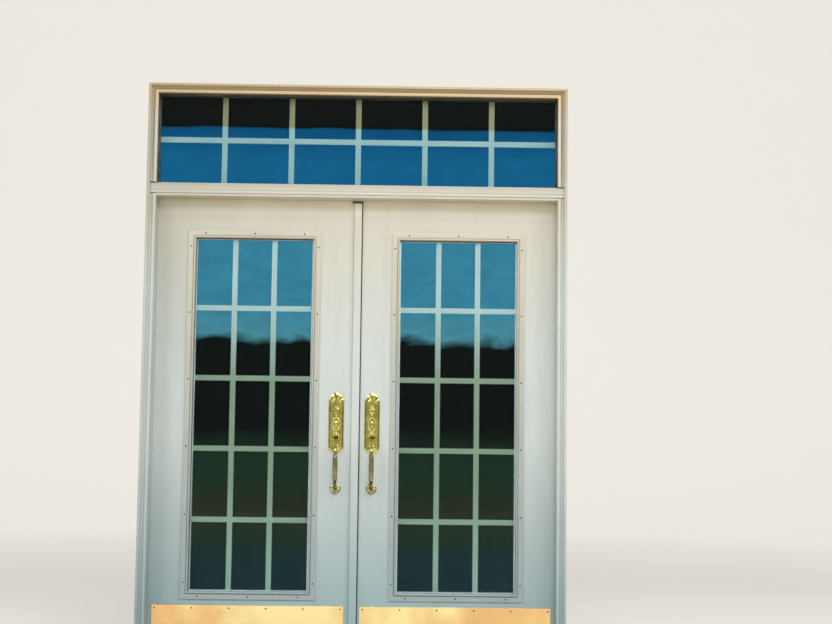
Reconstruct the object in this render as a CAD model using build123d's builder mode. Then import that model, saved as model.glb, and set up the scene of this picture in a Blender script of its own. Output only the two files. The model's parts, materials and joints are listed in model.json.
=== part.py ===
"""Inswing double front door with divided lites and a divided transom above it, with its frame.

Seen from outside: +X to the right, +Y into the house, +Z up.  The origin is the middle of the
sill's underside, in the plane of the jambs' exterior edge.  Millimetres.
The right leaf is the active one.  The left leaf carries the T-shaped astragal.
"""
import os
from math import cos, radians, sin

from build123d import *

os.makedirs("parts", exist_ok=True)

# Leaves
leaf_width = 914.0
leaf_height = 2032.0
leaf_thickness = 44.45
leaf_gap = 23.2            # between the two leaves, filled by the astragal's stem
hinge_gap = 3.0
head_gap = 3.2
sill_gap = 6.5

# Door frame
jamb_depth = 115.9
jamb_thickness = 31.75
rabbet = 12.7
seal_gap = 2.4             # between the stop's back and the closed leaf
seat_clearance = 0.3       # soft strips and runners stay this far from what slides past them
kerf_depth = 8.0
kerf_width = 2.6
kerf_inset = 3.0
fixing_hole_radius = 2.5
fixing_hole_pitch = 900.0
fixing_hole_z = 1100.0

# Sill
sill_height = 38.0
sill_nose = 25.0
sill_nose_height = 8.0
sill_back_height = 22.0
sill_wall = 2.5
sill_channel_floor = 20.0
sill_lip_height = 30.0
cap_bevel = 3.5

# Transom
transom_opening = 413.0
transom_stop_depth = 33.0
transom_stop_width = 16.0
transom_edge_room = 3.0
transom_columns = 6
transom_rows = 2
transom_bar_width = 25.0

# Exterior trim
casing_width = 43.0
casing_thickness = 31.75
mull_proud = 19.0
mull_lip = 13.0
mull_groove = 3.0
mull_band = 41.5
mull_end_inset = 14.0      # the casing's outer bead runs past the mull cover's ends
joint_gap = 1.0
casing_flat = 27.25
casing_groove_width = 4.0
casing_groove_depth = 3.0
casing_bead_width = 12.0
casing_shoulder = 5.0
casing_edge = 2.0
casing_cove_end = 13.0
casing_cove_sag = 1.8
mull_groove_depth = 5.0
mull_flute_depth = 1.6
mull_flute_width = 10.4
mull_lip_flat = 3.25

# Lites
lite_stile = 152.2         # from the leaf's edge to the lite frame
lite_top_rail = 154.8
lite_frame_band = 34.5
lite_flange = 6.0
lite_bead_width = 9.0
lite_bead_height = 13.0
lite_bead_bevel = 2.5
lite_edge_bevel = 1.5
lite_groove_width = 3.0
lite_groove_depth = 1.5
lite_corner_radius = 4.0
lite_cut_side = 19.0       # how far the frame laps the leaf round the cut-out
glass_lap = 9.2            # how far the frame laps the glass
pane_thickness = 3.0
unit_thickness = 25.4
spacer_inset = 4.0
spacer_width = 12.0
bar_width = 24.0
bar_thickness = 6.0
lite_columns = 3
lite_rows = 5

# Face screws
screw_head_radius = 3.6
screw_head_rise = 1.2
screw_head_taper = 30.0
screw_inset = 12.5
lite_screw_row_end = 78.1  # from the lite frame's corner to the first screw
lite_screw_side_end = 73.7
lite_screw_row_count = 3
lite_screw_side_count = 6

# Kick plates
kick_side_margin = 25.0
kick_bottom_margin = 22.8
kick_height = 152.4
kick_thickness = 1.3
kick_below_lite = 25.6
kick_screw_inset = 13.7
kick_screw_count = 6
kick_corner_radius = 2.0

# Door bottoms
sweep_width = 42.0
sweep_carrier = 2.0
sweep_fin = 1.6
sweep_fin_count = 3
sweep_fin_pitch = 16.0

# Hinges
hinge_height = 101.6
hinge_leaf_depth = 31.75
hinge_leaf_thickness = 2.5
knuckle_radius = 6.35
knuckle_count = 5
knuckle_gap = 0.3
knuckle_standoff = 0.6
pin_radius = 3.0
pin_play = 0.05
pin_tip_radius = 4.6
pin_tip_height = 6.0
hinge_from_top = 178.0
hinge_from_bottom = 280.0

# Astragal
stem_thickness = 19.05
flange_width = 35.0
flange_thickness = 12.7
flange_lap_inactive = 1.9
flange_head_gap = 12.5
flange_sill_gap = 5.5
flange_step = 3.2
flange_edge = 4.5
glue_line = 0.1            # between two members glued into one section

# Flush bolts
flush_rod_radius = 4.75
flush_play = 0.1
flush_travel = 19.0
flush_length = 226.0
flush_button_height = 12.0
flush_button_width = 6.0
flush_button_from_end = 164.0
flush_end_gap = 0.5
flush_strike_length = 60.0
flush_strike_width = 24.0
flush_strike_thickness = 2.0
flush_socket_side = 12.0
flush_socket_depth = 17.4

# Lock
backset = 70.0
latch_height = 914.0       # latch axis above the leaf's bottom
deadbolt_rise = 139.7
cross_bore_radius = 27.0
edge_bore_radius = 12.7
case_radius = 12.6
case_length = 54.0
faceplate_height = 57.0
faceplate_width = 25.4
faceplate_thickness = 2.4
bolt_width = 12.7
latch_height_of_bolt = 19.0
deadbolt_height = 17.0
deadbolt_travel = 25.4
bolt_length = 46.0
bolt_play = 0.2
pocket_play = 0.8
strike_height = 57.0
strike_width = 28.0
strike_thickness = 2.0
bolt_tip_inset = 0.3
bolt_nose = 2.0

# Exterior handleset
plate_width = 70.0
plate_body_bottom = -36.0  # from the latch axis
plate_body_top = 195.5
plate_arch_radius = 26.0
plate_arch_rise_top = 29.0
plate_arch_rise_bottom = 18.0
plate_thickness = 7.0
plate_rim = 5.0
plate_recess = 2.5
plate_bevel = 2.0
plate_shoulder_fillet = 6.0
cylinder_radius = 15.5
cylinder_proud = 12.0
collar_taper = 12.0
cartouche_half_width = 18.0
cartouche_half_height = 34.0
cartouche_band = 4.0
plug_radius = 6.5
plug_play = 0.1
plug_length = 22.0
keyway_width = 1.6
keyway_height = 8.0
keyway_depth = 6.0
thumb_rise = 20.0          # thumb piece pivot above the latch axis
thumb_boss_radius = 17.0
thumb_boss_proud = 3.0
thumb_width = 20.0
thumb_reach = 38.0
thumb_thickness = 4.0
thumb_hub_radius = 2.8
thumb_tail = 14.0
thumb_belly = 4.4
thumb_belly_reach = 30.4
thumb_pressed_deg = 12.0
thumb_slot_height = 19.0
thumb_slot_width = 21.0
grip_rod_radius = 7.0
grip_reach = 52.0          # grip axis in front of the leaf
grip_top_drop = 22.5       # upper elbow below the latch axis
grip_bottom_drop = 211.0   # rosette centre below the latch axis
grip_elbow_radius = 22.0
grip_collar_top = 58.5     # below the latch axis
grip_collar_bottom = 173.5
rosette_radius = 26.0
rosette_thickness = 4.0
rosette_step = 5.0
rosette_taper = 30.0
barrel_waist = 3.2
barrel_swell = 1.0
barrel_ring = 1.4
barrel_collar = 5.5

# Interior trim
inside_plate_width = 62.0
inside_plate_thickness = 5.0
inside_arch_radius = 23.0
knob_radius = 26.0
knob_depth = 32.0
knob_neck_radius = 9.0
knob_neck_length = 22.0
knob_collar = 4.0
knob_widest = 18.0
knob_rise = 6.0
knob_crown = 0.78
knob_flat_radius = 12.0
spindle_side = 8.0
spindle_length = 36.0
turn_spindle_radius = 4.0
turn_rose_radius = 15.0
turn_rose_thickness = 4.0
turn_length = 32.0
turn_width = 9.0
turn_reach = 16.0

# Worked-out places
leaf_front = jamb_depth - leaf_thickness
leaf_middle = jamb_depth - leaf_thickness / 2
stop_depth = leaf_front - seal_gap
leaf_inner_edge = leaf_gap / 2
leaf_outer_edge = leaf_inner_edge + leaf_width
leaf_centre = leaf_inner_edge + leaf_width / 2
half_rabbet = leaf_outer_edge + hinge_gap
half_stop = half_rabbet - rabbet
half_frame = half_stop + jamb_thickness
half_casing = half_stop + casing_width

leaf_bottom = sill_height + sill_gap
leaf_top = leaf_bottom + leaf_height
head_rabbet = leaf_top + head_gap
head_stop = head_rabbet - rabbet
head_top = head_stop + jamb_thickness
transom_low_rabbet = head_top + jamb_thickness - rabbet
transom_low_stop = transom_low_rabbet + rabbet
transom_high_stop = transom_low_stop + transom_opening
transom_high_rabbet = transom_high_stop + rabbet
transom_top = transom_high_stop + jamb_thickness
casing_top = transom_high_stop + casing_width

kick_width = leaf_width - 2 * kick_side_margin
kick_top = leaf_bottom + kick_bottom_margin + kick_height
lite_frame_bottom = kick_top + kick_below_lite
lite_frame_width = leaf_width - 2 * lite_stile
lite_frame_height = leaf_top - lite_top_rail - lite_frame_bottom
lite_centre = lite_frame_bottom + lite_frame_height / 2
lite_open_width = lite_frame_width - 2 * lite_frame_band
lite_open_height = lite_frame_height - 2 * lite_frame_band
glass_width = lite_open_width + 2 * glass_lap
glass_height = lite_open_height + 2 * glass_lap
cut_width = lite_frame_width - 2 * lite_cut_side
cut_height = lite_frame_height - 2 * lite_cut_side
unit_front = leaf_middle - unit_thickness / 2
unit_back = leaf_middle + unit_thickness / 2

lock_x = leaf_inner_edge + backset
latch_z = leaf_bottom + latch_height
deadbolt_z = latch_z + deadbolt_rise
thumb_z = latch_z + thumb_rise
stem_face = -leaf_inner_edge + stem_thickness
stem_middle = -leaf_inner_edge + stem_thickness / 2
flange_low_x = -leaf_inner_edge - flange_lap_inactive
flange_high_x = flange_low_x + flange_width
flange_front = stop_depth - flange_thickness
grip_y = leaf_front - grip_reach
thumb_pivot_y = leaf_front - plate_thickness / 2

pin_x = half_rabbet - hinge_gap / 2
pin_y = jamb_depth + knuckle_radius + knuckle_standoff
hinge_heights = (
    leaf_bottom + hinge_from_bottom + hinge_height / 2,
    (leaf_bottom + hinge_from_bottom + leaf_top - hinge_from_top) / 2,
    leaf_top - hinge_from_top - hinge_height / 2,
)


def facade(y, x=0.0, z=0.0):
    """Plane parallel to the wall: sketch x is +X, sketch y is +Z, extrusion goes outdoors."""
    return Plane(origin=(x, y, z), x_dir=(1, 0, 0), z_dir=(0, -1, 0))


def cross_section(x):
    """Plane across the frame: sketch x is +Y, sketch y is +Z, extrusion goes to +X."""
    return Plane(origin=(x, 0, 0), x_dir=(0, 1, 0), z_dir=(1, 0, 0))


def save(piece, name):
    """Label a finished piece and write it."""
    piece.part.label = name
    export_step(piece.part, f"parts/{name}.step")


def save_mirrored(piece, name):
    """Write the mirror image of a piece, for the other side of the door."""
    with BuildPart() as other:
        add(piece.part.mirror(Plane.YZ))
    save(other, name)


def closed(points):
    """Face inside a closed run of points, in the current sketch."""
    with BuildLine() as outline:
        Polyline(*points, close=True)
    make_face(outline.edges())


# Door frame

def make_side_jamb():
    """Right jamb: rabbeted, kerfed for the weatherstrip, mortised for three hinges."""
    with BuildPart() as jamb:
        with BuildSketch():
            closed([
                (half_stop, 0), (half_frame, 0), (half_frame, jamb_depth),
                (half_rabbet, jamb_depth), (half_rabbet, stop_depth), (half_stop, stop_depth),
            ])
            with Locations((half_stop + kerf_inset + kerf_width / 2, stop_depth - kerf_depth / 2)):
                Rectangle(kerf_width, kerf_depth, mode=Mode.SUBTRACT)
        extrude(amount=head_rabbet)
        mortise_y = jamb_depth - hinge_leaf_depth / 2
        for z in hinge_heights:
            with Locations((half_rabbet + hinge_leaf_thickness / 2, mortise_y, z)):
                Box(hinge_leaf_thickness, hinge_leaf_depth, hinge_height, mode=Mode.SUBTRACT)
        hole_plane = Plane(origin=(half_rabbet, 0, 0), x_dir=(0, 1, 0), z_dir=(1, 0, 0))
        with BuildSketch(hole_plane):
            for side in (-1, 1):
                with Locations((leaf_middle, fixing_hole_z + side * fixing_hole_pitch / 2)):
                    Circle(fixing_hole_radius)
        extrude(amount=jamb_thickness - rabbet, mode=Mode.SUBTRACT)
    return jamb


def make_head_jamb():
    """Head of the door frame: a board on the side jambs with its stop glued on between theirs."""
    with BuildPart() as head:
        with BuildSketch(cross_section(-half_frame)):
            with Locations((jamb_depth / 2, (head_rabbet + head_top) / 2)):
                Rectangle(jamb_depth, head_top - head_rabbet)
        extrude(amount=2 * half_frame)
        with BuildSketch(cross_section(-half_stop)):
            with Locations((stop_depth / 2, (head_stop + head_rabbet - glue_line) / 2)):
                Rectangle(stop_depth, rabbet - glue_line)
            with Locations((stop_depth - kerf_depth / 2, head_stop + kerf_inset + kerf_width / 2)):
                Rectangle(kerf_depth, kerf_width, mode=Mode.SUBTRACT)
        extrude(amount=2 * half_stop)
        with Locations((stem_middle, leaf_middle, head_rabbet + flush_strike_thickness / 2)):
            Box(flush_strike_length, flush_strike_width, flush_strike_thickness, mode=Mode.SUBTRACT)
        with Locations((stem_middle, leaf_middle, head_rabbet + flush_socket_depth / 2)):
            Box(flush_socket_side, flush_socket_side, flush_socket_depth, mode=Mode.SUBTRACT)
    return head


def make_sill():
    """Sloped extruded sill with a channel for its cap, notched round the jambs' stops."""
    channel_front = stop_depth + 2 * sill_wall
    with BuildPart() as sill:
        with BuildSketch(cross_section(-half_rabbet)):
            closed([
                (-sill_nose, 0), (jamb_depth, 0), (jamb_depth, sill_lip_height),
                (jamb_depth - sill_wall, sill_lip_height),
                (jamb_depth - sill_wall, sill_channel_floor), (channel_front, sill_channel_floor),
                (channel_front, sill_lip_height), (channel_front - sill_wall, sill_lip_height),
                (stop_depth, sill_back_height), (-sill_nose, sill_nose_height),
            ])
        extrude(amount=2 * half_rabbet)
        with BuildSketch():
            for side in (-1, 1):
                with Locations((side * (half_stop + rabbet / 2), (stop_depth - sill_nose) / 2)):
                    Rectangle(rabbet, stop_depth + sill_nose)
        extrude(amount=sill_height, mode=Mode.SUBTRACT)
    return sill


def make_sill_cap():
    """Cap that the door bottoms seal on, bevelled along both edges, mortised for the flush bolt."""
    low_y = stop_depth + 2 * sill_wall
    high_y = jamb_depth - sill_wall
    with BuildPart() as cap:
        with BuildSketch(cross_section(-half_rabbet)):
            closed([
                (low_y, sill_channel_floor), (high_y, sill_channel_floor),
                (high_y, sill_height - cap_bevel), (high_y - cap_bevel, sill_height),
                (low_y + cap_bevel, sill_height), (low_y, sill_height - cap_bevel),
            ])
        extrude(amount=2 * half_rabbet)
        with Locations((stem_middle, leaf_middle, (sill_channel_floor + sill_height) / 2)):
            Box(
                flush_socket_side, flush_socket_side, sill_height - sill_channel_floor,
                mode=Mode.SUBTRACT,
            )
        with Locations((stem_middle, leaf_middle, sill_height - flush_strike_thickness / 2)):
            Box(flush_strike_length, flush_strike_width, flush_strike_thickness, mode=Mode.SUBTRACT)
    return cap


def make_flush_strikes():
    """Two thin plates, one let into the head and one into the sill cap."""
    with BuildPart() as strikes:
        for z in (head_rabbet, sill_height - flush_strike_thickness):
            with BuildSketch(Plane.XY.offset(z)):
                with Locations((stem_middle, leaf_middle)):
                    Rectangle(flush_strike_length, flush_strike_width)
                    Rectangle(flush_socket_side, flush_socket_side, mode=Mode.SUBTRACT)
            extrude(amount=flush_strike_thickness)
    return strikes


def make_weatherstrip():
    """Soft strip in the kerfs of both side jambs and the head."""
    pad = rabbet - seat_clearance
    tongue = kerf_inset + kerf_width / 2
    strip_end = seal_gap - seat_clearance
    with BuildPart() as strip:
        with BuildSketch(Plane.XY.offset(leaf_bottom)):
            for side in (-1, 1):
                with Locations((side * (half_stop + pad / 2), stop_depth + strip_end / 2)):
                    Rectangle(pad, strip_end)
                with Locations((side * (half_stop + tongue), stop_depth - kerf_depth / 2)):
                    Rectangle(kerf_width, kerf_depth)
        extrude(amount=head_stop - leaf_bottom)
        with BuildSketch(cross_section(-half_stop)):
            with Locations((stop_depth + strip_end / 2, head_stop + pad / 2)):
                Rectangle(strip_end, pad)
            with Locations((stop_depth - kerf_depth / 2, head_stop + tongue)):
                Rectangle(kerf_depth, kerf_width)
        extrude(amount=2 * half_stop)
    return strip


# Transom

def make_transom_rail(rabbet_z, stop_z):
    """Horizontal transom member: a full-width board with its stop between the side members."""
    board_z = rabbet_z + (rabbet_z - stop_z) / rabbet * (jamb_thickness - rabbet)
    with BuildPart() as rail:
        with BuildSketch(cross_section(-half_frame)):
            with Locations((jamb_depth / 2, (board_z + rabbet_z) / 2)):
                Rectangle(jamb_depth, jamb_thickness - rabbet)
        extrude(amount=2 * half_frame)
        with BuildSketch(cross_section(-half_stop)):
            with Locations((transom_stop_depth / 2, (rabbet_z + stop_z) / 2)):
                Rectangle(transom_stop_depth, rabbet)
        extrude(amount=2 * half_stop)
    return rail


def make_transom_sides():
    """The two side members of the transom frame."""
    with BuildPart() as sides:
        with BuildSketch(Plane.XY.offset(transom_low_rabbet)):
            for side in (-1, 1):
                closed([
                    (side * half_stop, 0), (side * half_frame, 0), (side * half_frame, jamb_depth),
                    (side * half_rabbet, jamb_depth), (side * half_rabbet, transom_stop_depth),
                    (side * half_stop, transom_stop_depth),
                ])
        extrude(amount=transom_high_rabbet - transom_low_rabbet)
    return sides


def make_panes(width, height, front, x, z):
    """The outer and inner pane of a sealed unit."""
    with BuildPart() as panes:
        for y in (front + pane_thickness, front + unit_thickness):
            with BuildSketch(facade(y, x, z)):
                Rectangle(width, height)
            extrude(amount=pane_thickness)
    return panes


def make_spacer(width, height, front, x, z):
    """Hollow-section aluminium frame that holds the two panes apart."""
    with BuildPart() as spacer:
        with BuildSketch(facade(front + unit_thickness - pane_thickness, x, z)):
            Rectangle(width - 2 * spacer_inset, height - 2 * spacer_inset)
            inner = spacer_inset + spacer_width
            Rectangle(width - 2 * inner, height - 2 * inner, mode=Mode.SUBTRACT)
        extrude(amount=unit_thickness - 2 * pane_thickness)
    return spacer


def make_grille(width, height, front, x, z, columns, rows, column_pitch, row_pitch, bar):
    """Flat crossing bars between the panes, from spacer to spacer."""
    inner = spacer_inset + spacer_width
    middle = front + unit_thickness / 2
    with BuildPart() as grille:
        with BuildSketch(facade(middle + bar_thickness / 2, x, z)):
            with GridLocations(column_pitch, 0, columns - 1, 1):
                Rectangle(bar, height - 2 * inner)
            with GridLocations(0, row_pitch, 1, rows - 1):
                Rectangle(width - 2 * inner, bar)
        extrude(amount=bar_thickness)
    return grille


def make_transom_stops():
    """Four bevelled interior stops that hold the transom's glass."""
    front = transom_stop_depth + unit_thickness
    low = transom_low_rabbet
    high = transom_high_rabbet
    bevel = transom_stop_width / 2
    profile = [
        (0, front), (transom_stop_width, front), (transom_stop_width, front + bevel),
        (bevel, front + transom_stop_width), (0, front + transom_stop_width),
    ]
    with BuildPart() as stops:
        for end, turn in ((low, 1), (high, -1)):
            with BuildSketch(cross_section(-half_rabbet)):
                closed([(y, end + turn * rise) for rise, y in profile])
            extrude(amount=2 * half_rabbet)
        with BuildSketch(Plane.XY.offset(low + transom_stop_width)):
            for side in (-1, 1):
                closed([(side * (half_rabbet - rise), y) for rise, y in profile])
        extrude(amount=high - low - 2 * transom_stop_width)
    return stops


# Exterior trim

def casing_section(outward):
    """Casing section: cove, flat, groove and outer bead; outdoors is the sketch's outward side."""
    inner = outward * mull_proud
    flat = outward * casing_flat
    groove = outward * (casing_flat - casing_groove_depth)
    shoulder = outward * (casing_thickness - casing_shoulder)
    bead_start = casing_width - casing_bead_width
    groove_start = bead_start - casing_groove_width
    cove_middle = (casing_edge + casing_cove_end) / 2
    cove_sag = outward * casing_cove_sag
    with BuildLine() as outline:
        Polyline(
            (casing_edge, inner), (0, inner), (0, 0), (casing_width, 0), (casing_width, shoulder)
        )
        ThreePointArc(
            (casing_width, shoulder),
            (casing_width - casing_bead_width / 2, outward * casing_thickness),
            (bead_start, shoulder),
        )
        Polyline(
            (bead_start, shoulder), (bead_start, groove), (groove_start, flat), (casing_cove_end, flat)
        )
        ThreePointArc(
            (casing_cove_end, flat), (cove_middle, (inner + flat) / 2 - cove_sag), (casing_edge, inner)
        )
    make_face(outline.edges())


def make_casing_leg():
    """Right casing leg, mitred at the top and housed for the end of the mull cover."""
    mitre = Plane(origin=(half_stop, 0, transom_high_stop), x_dir=(0, 1, 0), z_dir=(-1, 0, 1))
    band_height = mull_band + 2 * joint_gap
    band_bottom = head_stop + mull_lip + mull_groove - joint_gap
    house = casing_width - mull_end_inset
    house_place = (half_stop + house / 2, -casing_thickness / 2, band_bottom + band_height / 2)
    with BuildPart() as leg:
        with BuildSketch(Plane(origin=(half_stop, 0, 0))):
            casing_section(-1)
        extrude(amount=casing_top)
        split(bisect_by=mitre, keep=Keep.BOTTOM)
        with Locations(house_place):
            Box(house, casing_thickness, band_height, mode=Mode.SUBTRACT)
    return leg


def make_casing_head():
    """Casing across the top of the transom, mitred at both ends."""
    section = Plane(origin=(-half_casing, 0, transom_high_stop), x_dir=(0, 0, 1), z_dir=(1, 0, 0))
    with BuildPart() as head:
        with BuildSketch(section):
            casing_section(1)
        extrude(amount=2 * half_casing)
        for side in (-1, 1):
            corner = (side * half_stop, 0, transom_high_stop)
            split(bisect_by=Plane(origin=corner, x_dir=(0, 1, 0), z_dir=(-side, 0, 1)), keep=Keep.TOP)
    return head


def make_mull_cover():
    """Moulding over the joint of door and transom: a fluted band with a lip between the legs."""
    low = head_stop
    lip_top = low + mull_lip
    band_low = lip_top + mull_groove
    band_high = band_low + mull_band
    flute_low = (band_low + band_high - mull_flute_width) / 2
    flute_high = flute_low + mull_flute_width
    band_reach = half_casing - mull_end_inset
    with BuildPart() as cover:
        with BuildSketch(cross_section(-half_stop)):
            with BuildLine():
                Polyline(
                    (-mull_proud + mull_lip_flat, low), (0, low), (0, band_low),
                    (-mull_proud + mull_groove_depth, band_low),
                    (-mull_proud + mull_groove_depth, lip_top),
                )
                ThreePointArc(
                    (-mull_proud + mull_groove_depth, lip_top),
                    (-mull_proud, low + mull_lip / 2),
                    (-mull_proud + mull_lip_flat, low),
                )
            make_face()
        extrude(amount=2 * half_stop)
        with BuildSketch(cross_section(-band_reach)):
            with BuildLine():
                Polyline(
                    (-mull_proud, flute_low), (-mull_proud, band_low), (0, band_low),
                    (0, band_high), (-mull_proud, band_high), (-mull_proud, flute_high),
                )
                ThreePointArc(
                    (-mull_proud, flute_high),
                    (-mull_proud + mull_flute_depth, (flute_low + flute_high) / 2),
                    (-mull_proud, flute_low),
                )
            make_face()
        extrude(amount=2 * band_reach)
    return cover


# Leaves

def make_leaf(side):
    """Door slab with its lite cut-out and hinge mortises; side is -1 for the left leaf."""
    x = side * leaf_centre
    with BuildPart() as leaf:
        with BuildSketch(facade(jamb_depth, x, leaf_bottom + leaf_height / 2)):
            Rectangle(leaf_width, leaf_height)
        extrude(amount=leaf_thickness)
        with BuildSketch(facade(jamb_depth, x, lite_centre)):
            Rectangle(cut_width, cut_height)
        extrude(amount=leaf_thickness, mode=Mode.SUBTRACT)
        mortise_x = side * (leaf_outer_edge - hinge_leaf_thickness / 2)
        for z in hinge_heights:
            with Locations((mortise_x, jamb_depth - hinge_leaf_depth / 2, z)):
                Box(hinge_leaf_thickness, hinge_leaf_depth, hinge_height, mode=Mode.SUBTRACT)
    return leaf


def make_active_leaf():
    """Right slab, bored and mortised for the latch and the deadbolt."""
    edge = leaf_inner_edge
    with BuildPart() as leaf:
        add(make_leaf(1).part)
        for z in (latch_z, deadbolt_z):
            with BuildSketch(facade(jamb_depth, lock_x, z)):
                Circle(cross_bore_radius)
            extrude(amount=leaf_thickness, mode=Mode.SUBTRACT)
            with BuildSketch(Plane(origin=(edge, leaf_middle, z), x_dir=(0, 1, 0), z_dir=(1, 0, 0))):
                Circle(edge_bore_radius)
            extrude(amount=backset, mode=Mode.SUBTRACT)
            with Locations((edge + faceplate_thickness / 2, leaf_middle, z)):
                Box(faceplate_thickness, faceplate_width, faceplate_height, mode=Mode.SUBTRACT)
    return leaf


def make_inactive_leaf():
    """Left slab, with a shallow socket in its edge for the deadbolt's tip."""
    depth = deadbolt_travel - bolt_tip_inset - (leaf_gap - pocket_play)
    width = bolt_width + 2 * pocket_play
    height = deadbolt_height + 2 * pocket_play
    with BuildPart() as leaf:
        add(make_leaf(-1).part)
        with Locations((-leaf_inner_edge - depth / 2, leaf_middle, deadbolt_z)):
            Box(depth, width, height, mode=Mode.SUBTRACT)
    return leaf


def make_lite_frame(x, face, out):
    """Screwed plastic lite frame; out is +1 for the exterior one and -1 for the interior one."""
    unit_face = unit_front if out > 0 else unit_back
    bead_w = lite_open_width + 2 * lite_bead_width
    bead_h = lite_open_height + 2 * lite_bead_width
    groove = 2 * lite_groove_width
    with BuildPart() as frame:
        with BuildSketch(facade(face, x, lite_centre)):
            RectangleRounded(lite_frame_width, lite_frame_height, lite_corner_radius)
        extrude(amount=out * lite_flange)
        chamfer(frame.faces().sort_by(Axis.Y)[0 if out > 0 else -1].edges(), lite_edge_bevel)
        with BuildSketch(facade(face, x, lite_centre)):
            Rectangle(bead_w, bead_h)
        extrude(amount=out * lite_bead_height)
        chamfer(frame.faces().sort_by(Axis.Y)[0 if out > 0 else -1].edges(), lite_bead_bevel)
        with BuildSketch(facade(face - out * lite_flange, x, lite_centre)):
            Rectangle(bead_w + groove, bead_h + groove)
            Rectangle(bead_w, bead_h, mode=Mode.SUBTRACT)
        extrude(amount=-out * lite_groove_depth, mode=Mode.SUBTRACT)
        with BuildSketch(facade(face, x, lite_centre)):
            Rectangle(cut_width - 2 * seat_clearance, cut_height - 2 * seat_clearance)
        extrude(amount=-abs(unit_face - face) * out)
        with BuildSketch(facade(unit_face, x, lite_centre)):
            Rectangle(lite_open_width, lite_open_height)
        extrude(amount=out * (abs(unit_face - face) + lite_bead_height), mode=Mode.SUBTRACT)
    return frame


def make_screw_heads(x, face, places):
    """Low domed screw heads seated on a face; places are (x, z) from the given middle."""
    with BuildPart() as heads:
        with BuildSketch(facade(face, x, 0)):
            with Locations(*places):
                Circle(screw_head_radius)
        extrude(amount=screw_head_rise, taper=screw_head_taper)
    return heads


def spread(count, span):
    """Evenly spaced places over a span, about its middle."""
    return [(i / (count - 1) - 0.5) * span for i in range(count)]


def lite_screw_places():
    """Screws along the middle of the lite frame's flange: three on each end, six on each side."""
    side = lite_frame_width / 2 - screw_inset
    end = lite_frame_height / 2 - screw_inset
    row = lite_frame_width - 2 * lite_screw_row_end
    column = lite_frame_height - 2 * lite_screw_side_end
    places = []
    for along in spread(lite_screw_row_count, row):
        places += [(along, lite_centre + end), (along, lite_centre - end)]
    for along in spread(lite_screw_side_count, column):
        places += [(side, lite_centre + along), (-side, lite_centre + along)]
    return places


def kick_screw_places():
    """Screws along the top and bottom edges of a kick plate."""
    top = kick_top - kick_screw_inset
    bottom = kick_top - kick_height + kick_screw_inset
    columns = spread(kick_screw_count, kick_width - 2 * kick_screw_inset)
    return [(along, z) for along in columns for z in (top, bottom)]


def make_kick_plate(x):
    """Thin brass plate with eased corners, screwed to the bottom rail."""
    with BuildPart() as plate:
        with BuildSketch(facade(leaf_front, x, kick_top - kick_height / 2)):
            RectangleRounded(kick_width, kick_height, kick_corner_radius)
        extrude(amount=kick_thickness)
    return plate


def make_sweep(x):
    """Door bottom: a carrier under the leaf with three fins that brush the sill cap."""
    low = sill_height + seat_clearance
    with BuildPart() as sweep:
        with BuildSketch(cross_section(x - leaf_width / 2)):
            with Locations((leaf_middle, leaf_bottom - sweep_carrier / 2)):
                Rectangle(sweep_width, sweep_carrier)
            with Locations((leaf_middle, (low + leaf_bottom) / 2)):
                with GridLocations(sweep_fin_pitch, 0, sweep_fin_count, 1):
                    Rectangle(sweep_fin, leaf_bottom - low)
        extrude(amount=leaf_width)
    return sweep


# Hinges

def make_hinge_leaves(frame_side):
    """Right-hand hinge leaves with their share of the knuckles, for the frame or for the door."""
    pitch = hinge_height / knuckle_count
    plate_x = half_rabbet if frame_side else leaf_outer_edge - hinge_leaf_thickness
    reach = pin_y - jamb_depth
    with BuildPart() as leaves:
        for z in hinge_heights:
            bottom = z - hinge_height / 2
            plate_y = jamb_depth - hinge_leaf_depth / 2
            with Locations((plate_x + hinge_leaf_thickness / 2, plate_y, z)):
                Box(hinge_leaf_thickness, hinge_leaf_depth, hinge_height)
            for i in range(knuckle_count):
                if (i % 2 == 0) != frame_side:
                    continue
                with BuildSketch(Plane.XY.offset(bottom + i * pitch + knuckle_gap / 2)):
                    with Locations((pin_x, pin_y)):
                        Circle(knuckle_radius)
                    with Locations((plate_x + hinge_leaf_thickness / 2, jamb_depth + reach / 2)):
                        Rectangle(hinge_leaf_thickness, reach)
                    with Locations((pin_x, pin_y)):
                        Circle(pin_radius + pin_play, mode=Mode.SUBTRACT)
                extrude(amount=pitch - knuckle_gap)
    return leaves


def make_hinge_pins():
    """Right-hand hinge pins with a turned tip at each end."""
    half = hinge_height / 2
    tip = half + pin_tip_height
    with BuildPart() as pins:
        for z in hinge_heights:
            with BuildSketch(Plane(origin=(pin_x, pin_y, z), x_dir=(1, 0, 0), z_dir=(0, -1, 0))):
                closed([
                    (0, -tip), (pin_tip_radius / 2, -tip), (pin_tip_radius, -half - pin_tip_height / 2),
                    (pin_tip_radius, -half), (pin_radius, -half), (pin_radius, half),
                    (pin_tip_radius, half), (pin_tip_radius, half + pin_tip_height / 2),
                    (pin_tip_radius / 2, tip), (0, tip),
                ])
            revolve(axis=Axis((pin_x, pin_y, z), (0, 0, 1)))
    return pins


def both_sides(piece):
    """A right-hand piece together with its mirror image."""
    with BuildPart() as pair:
        add(piece.part)
        add(piece.part.mirror(Plane.YZ))
    return pair


# Astragal

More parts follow.
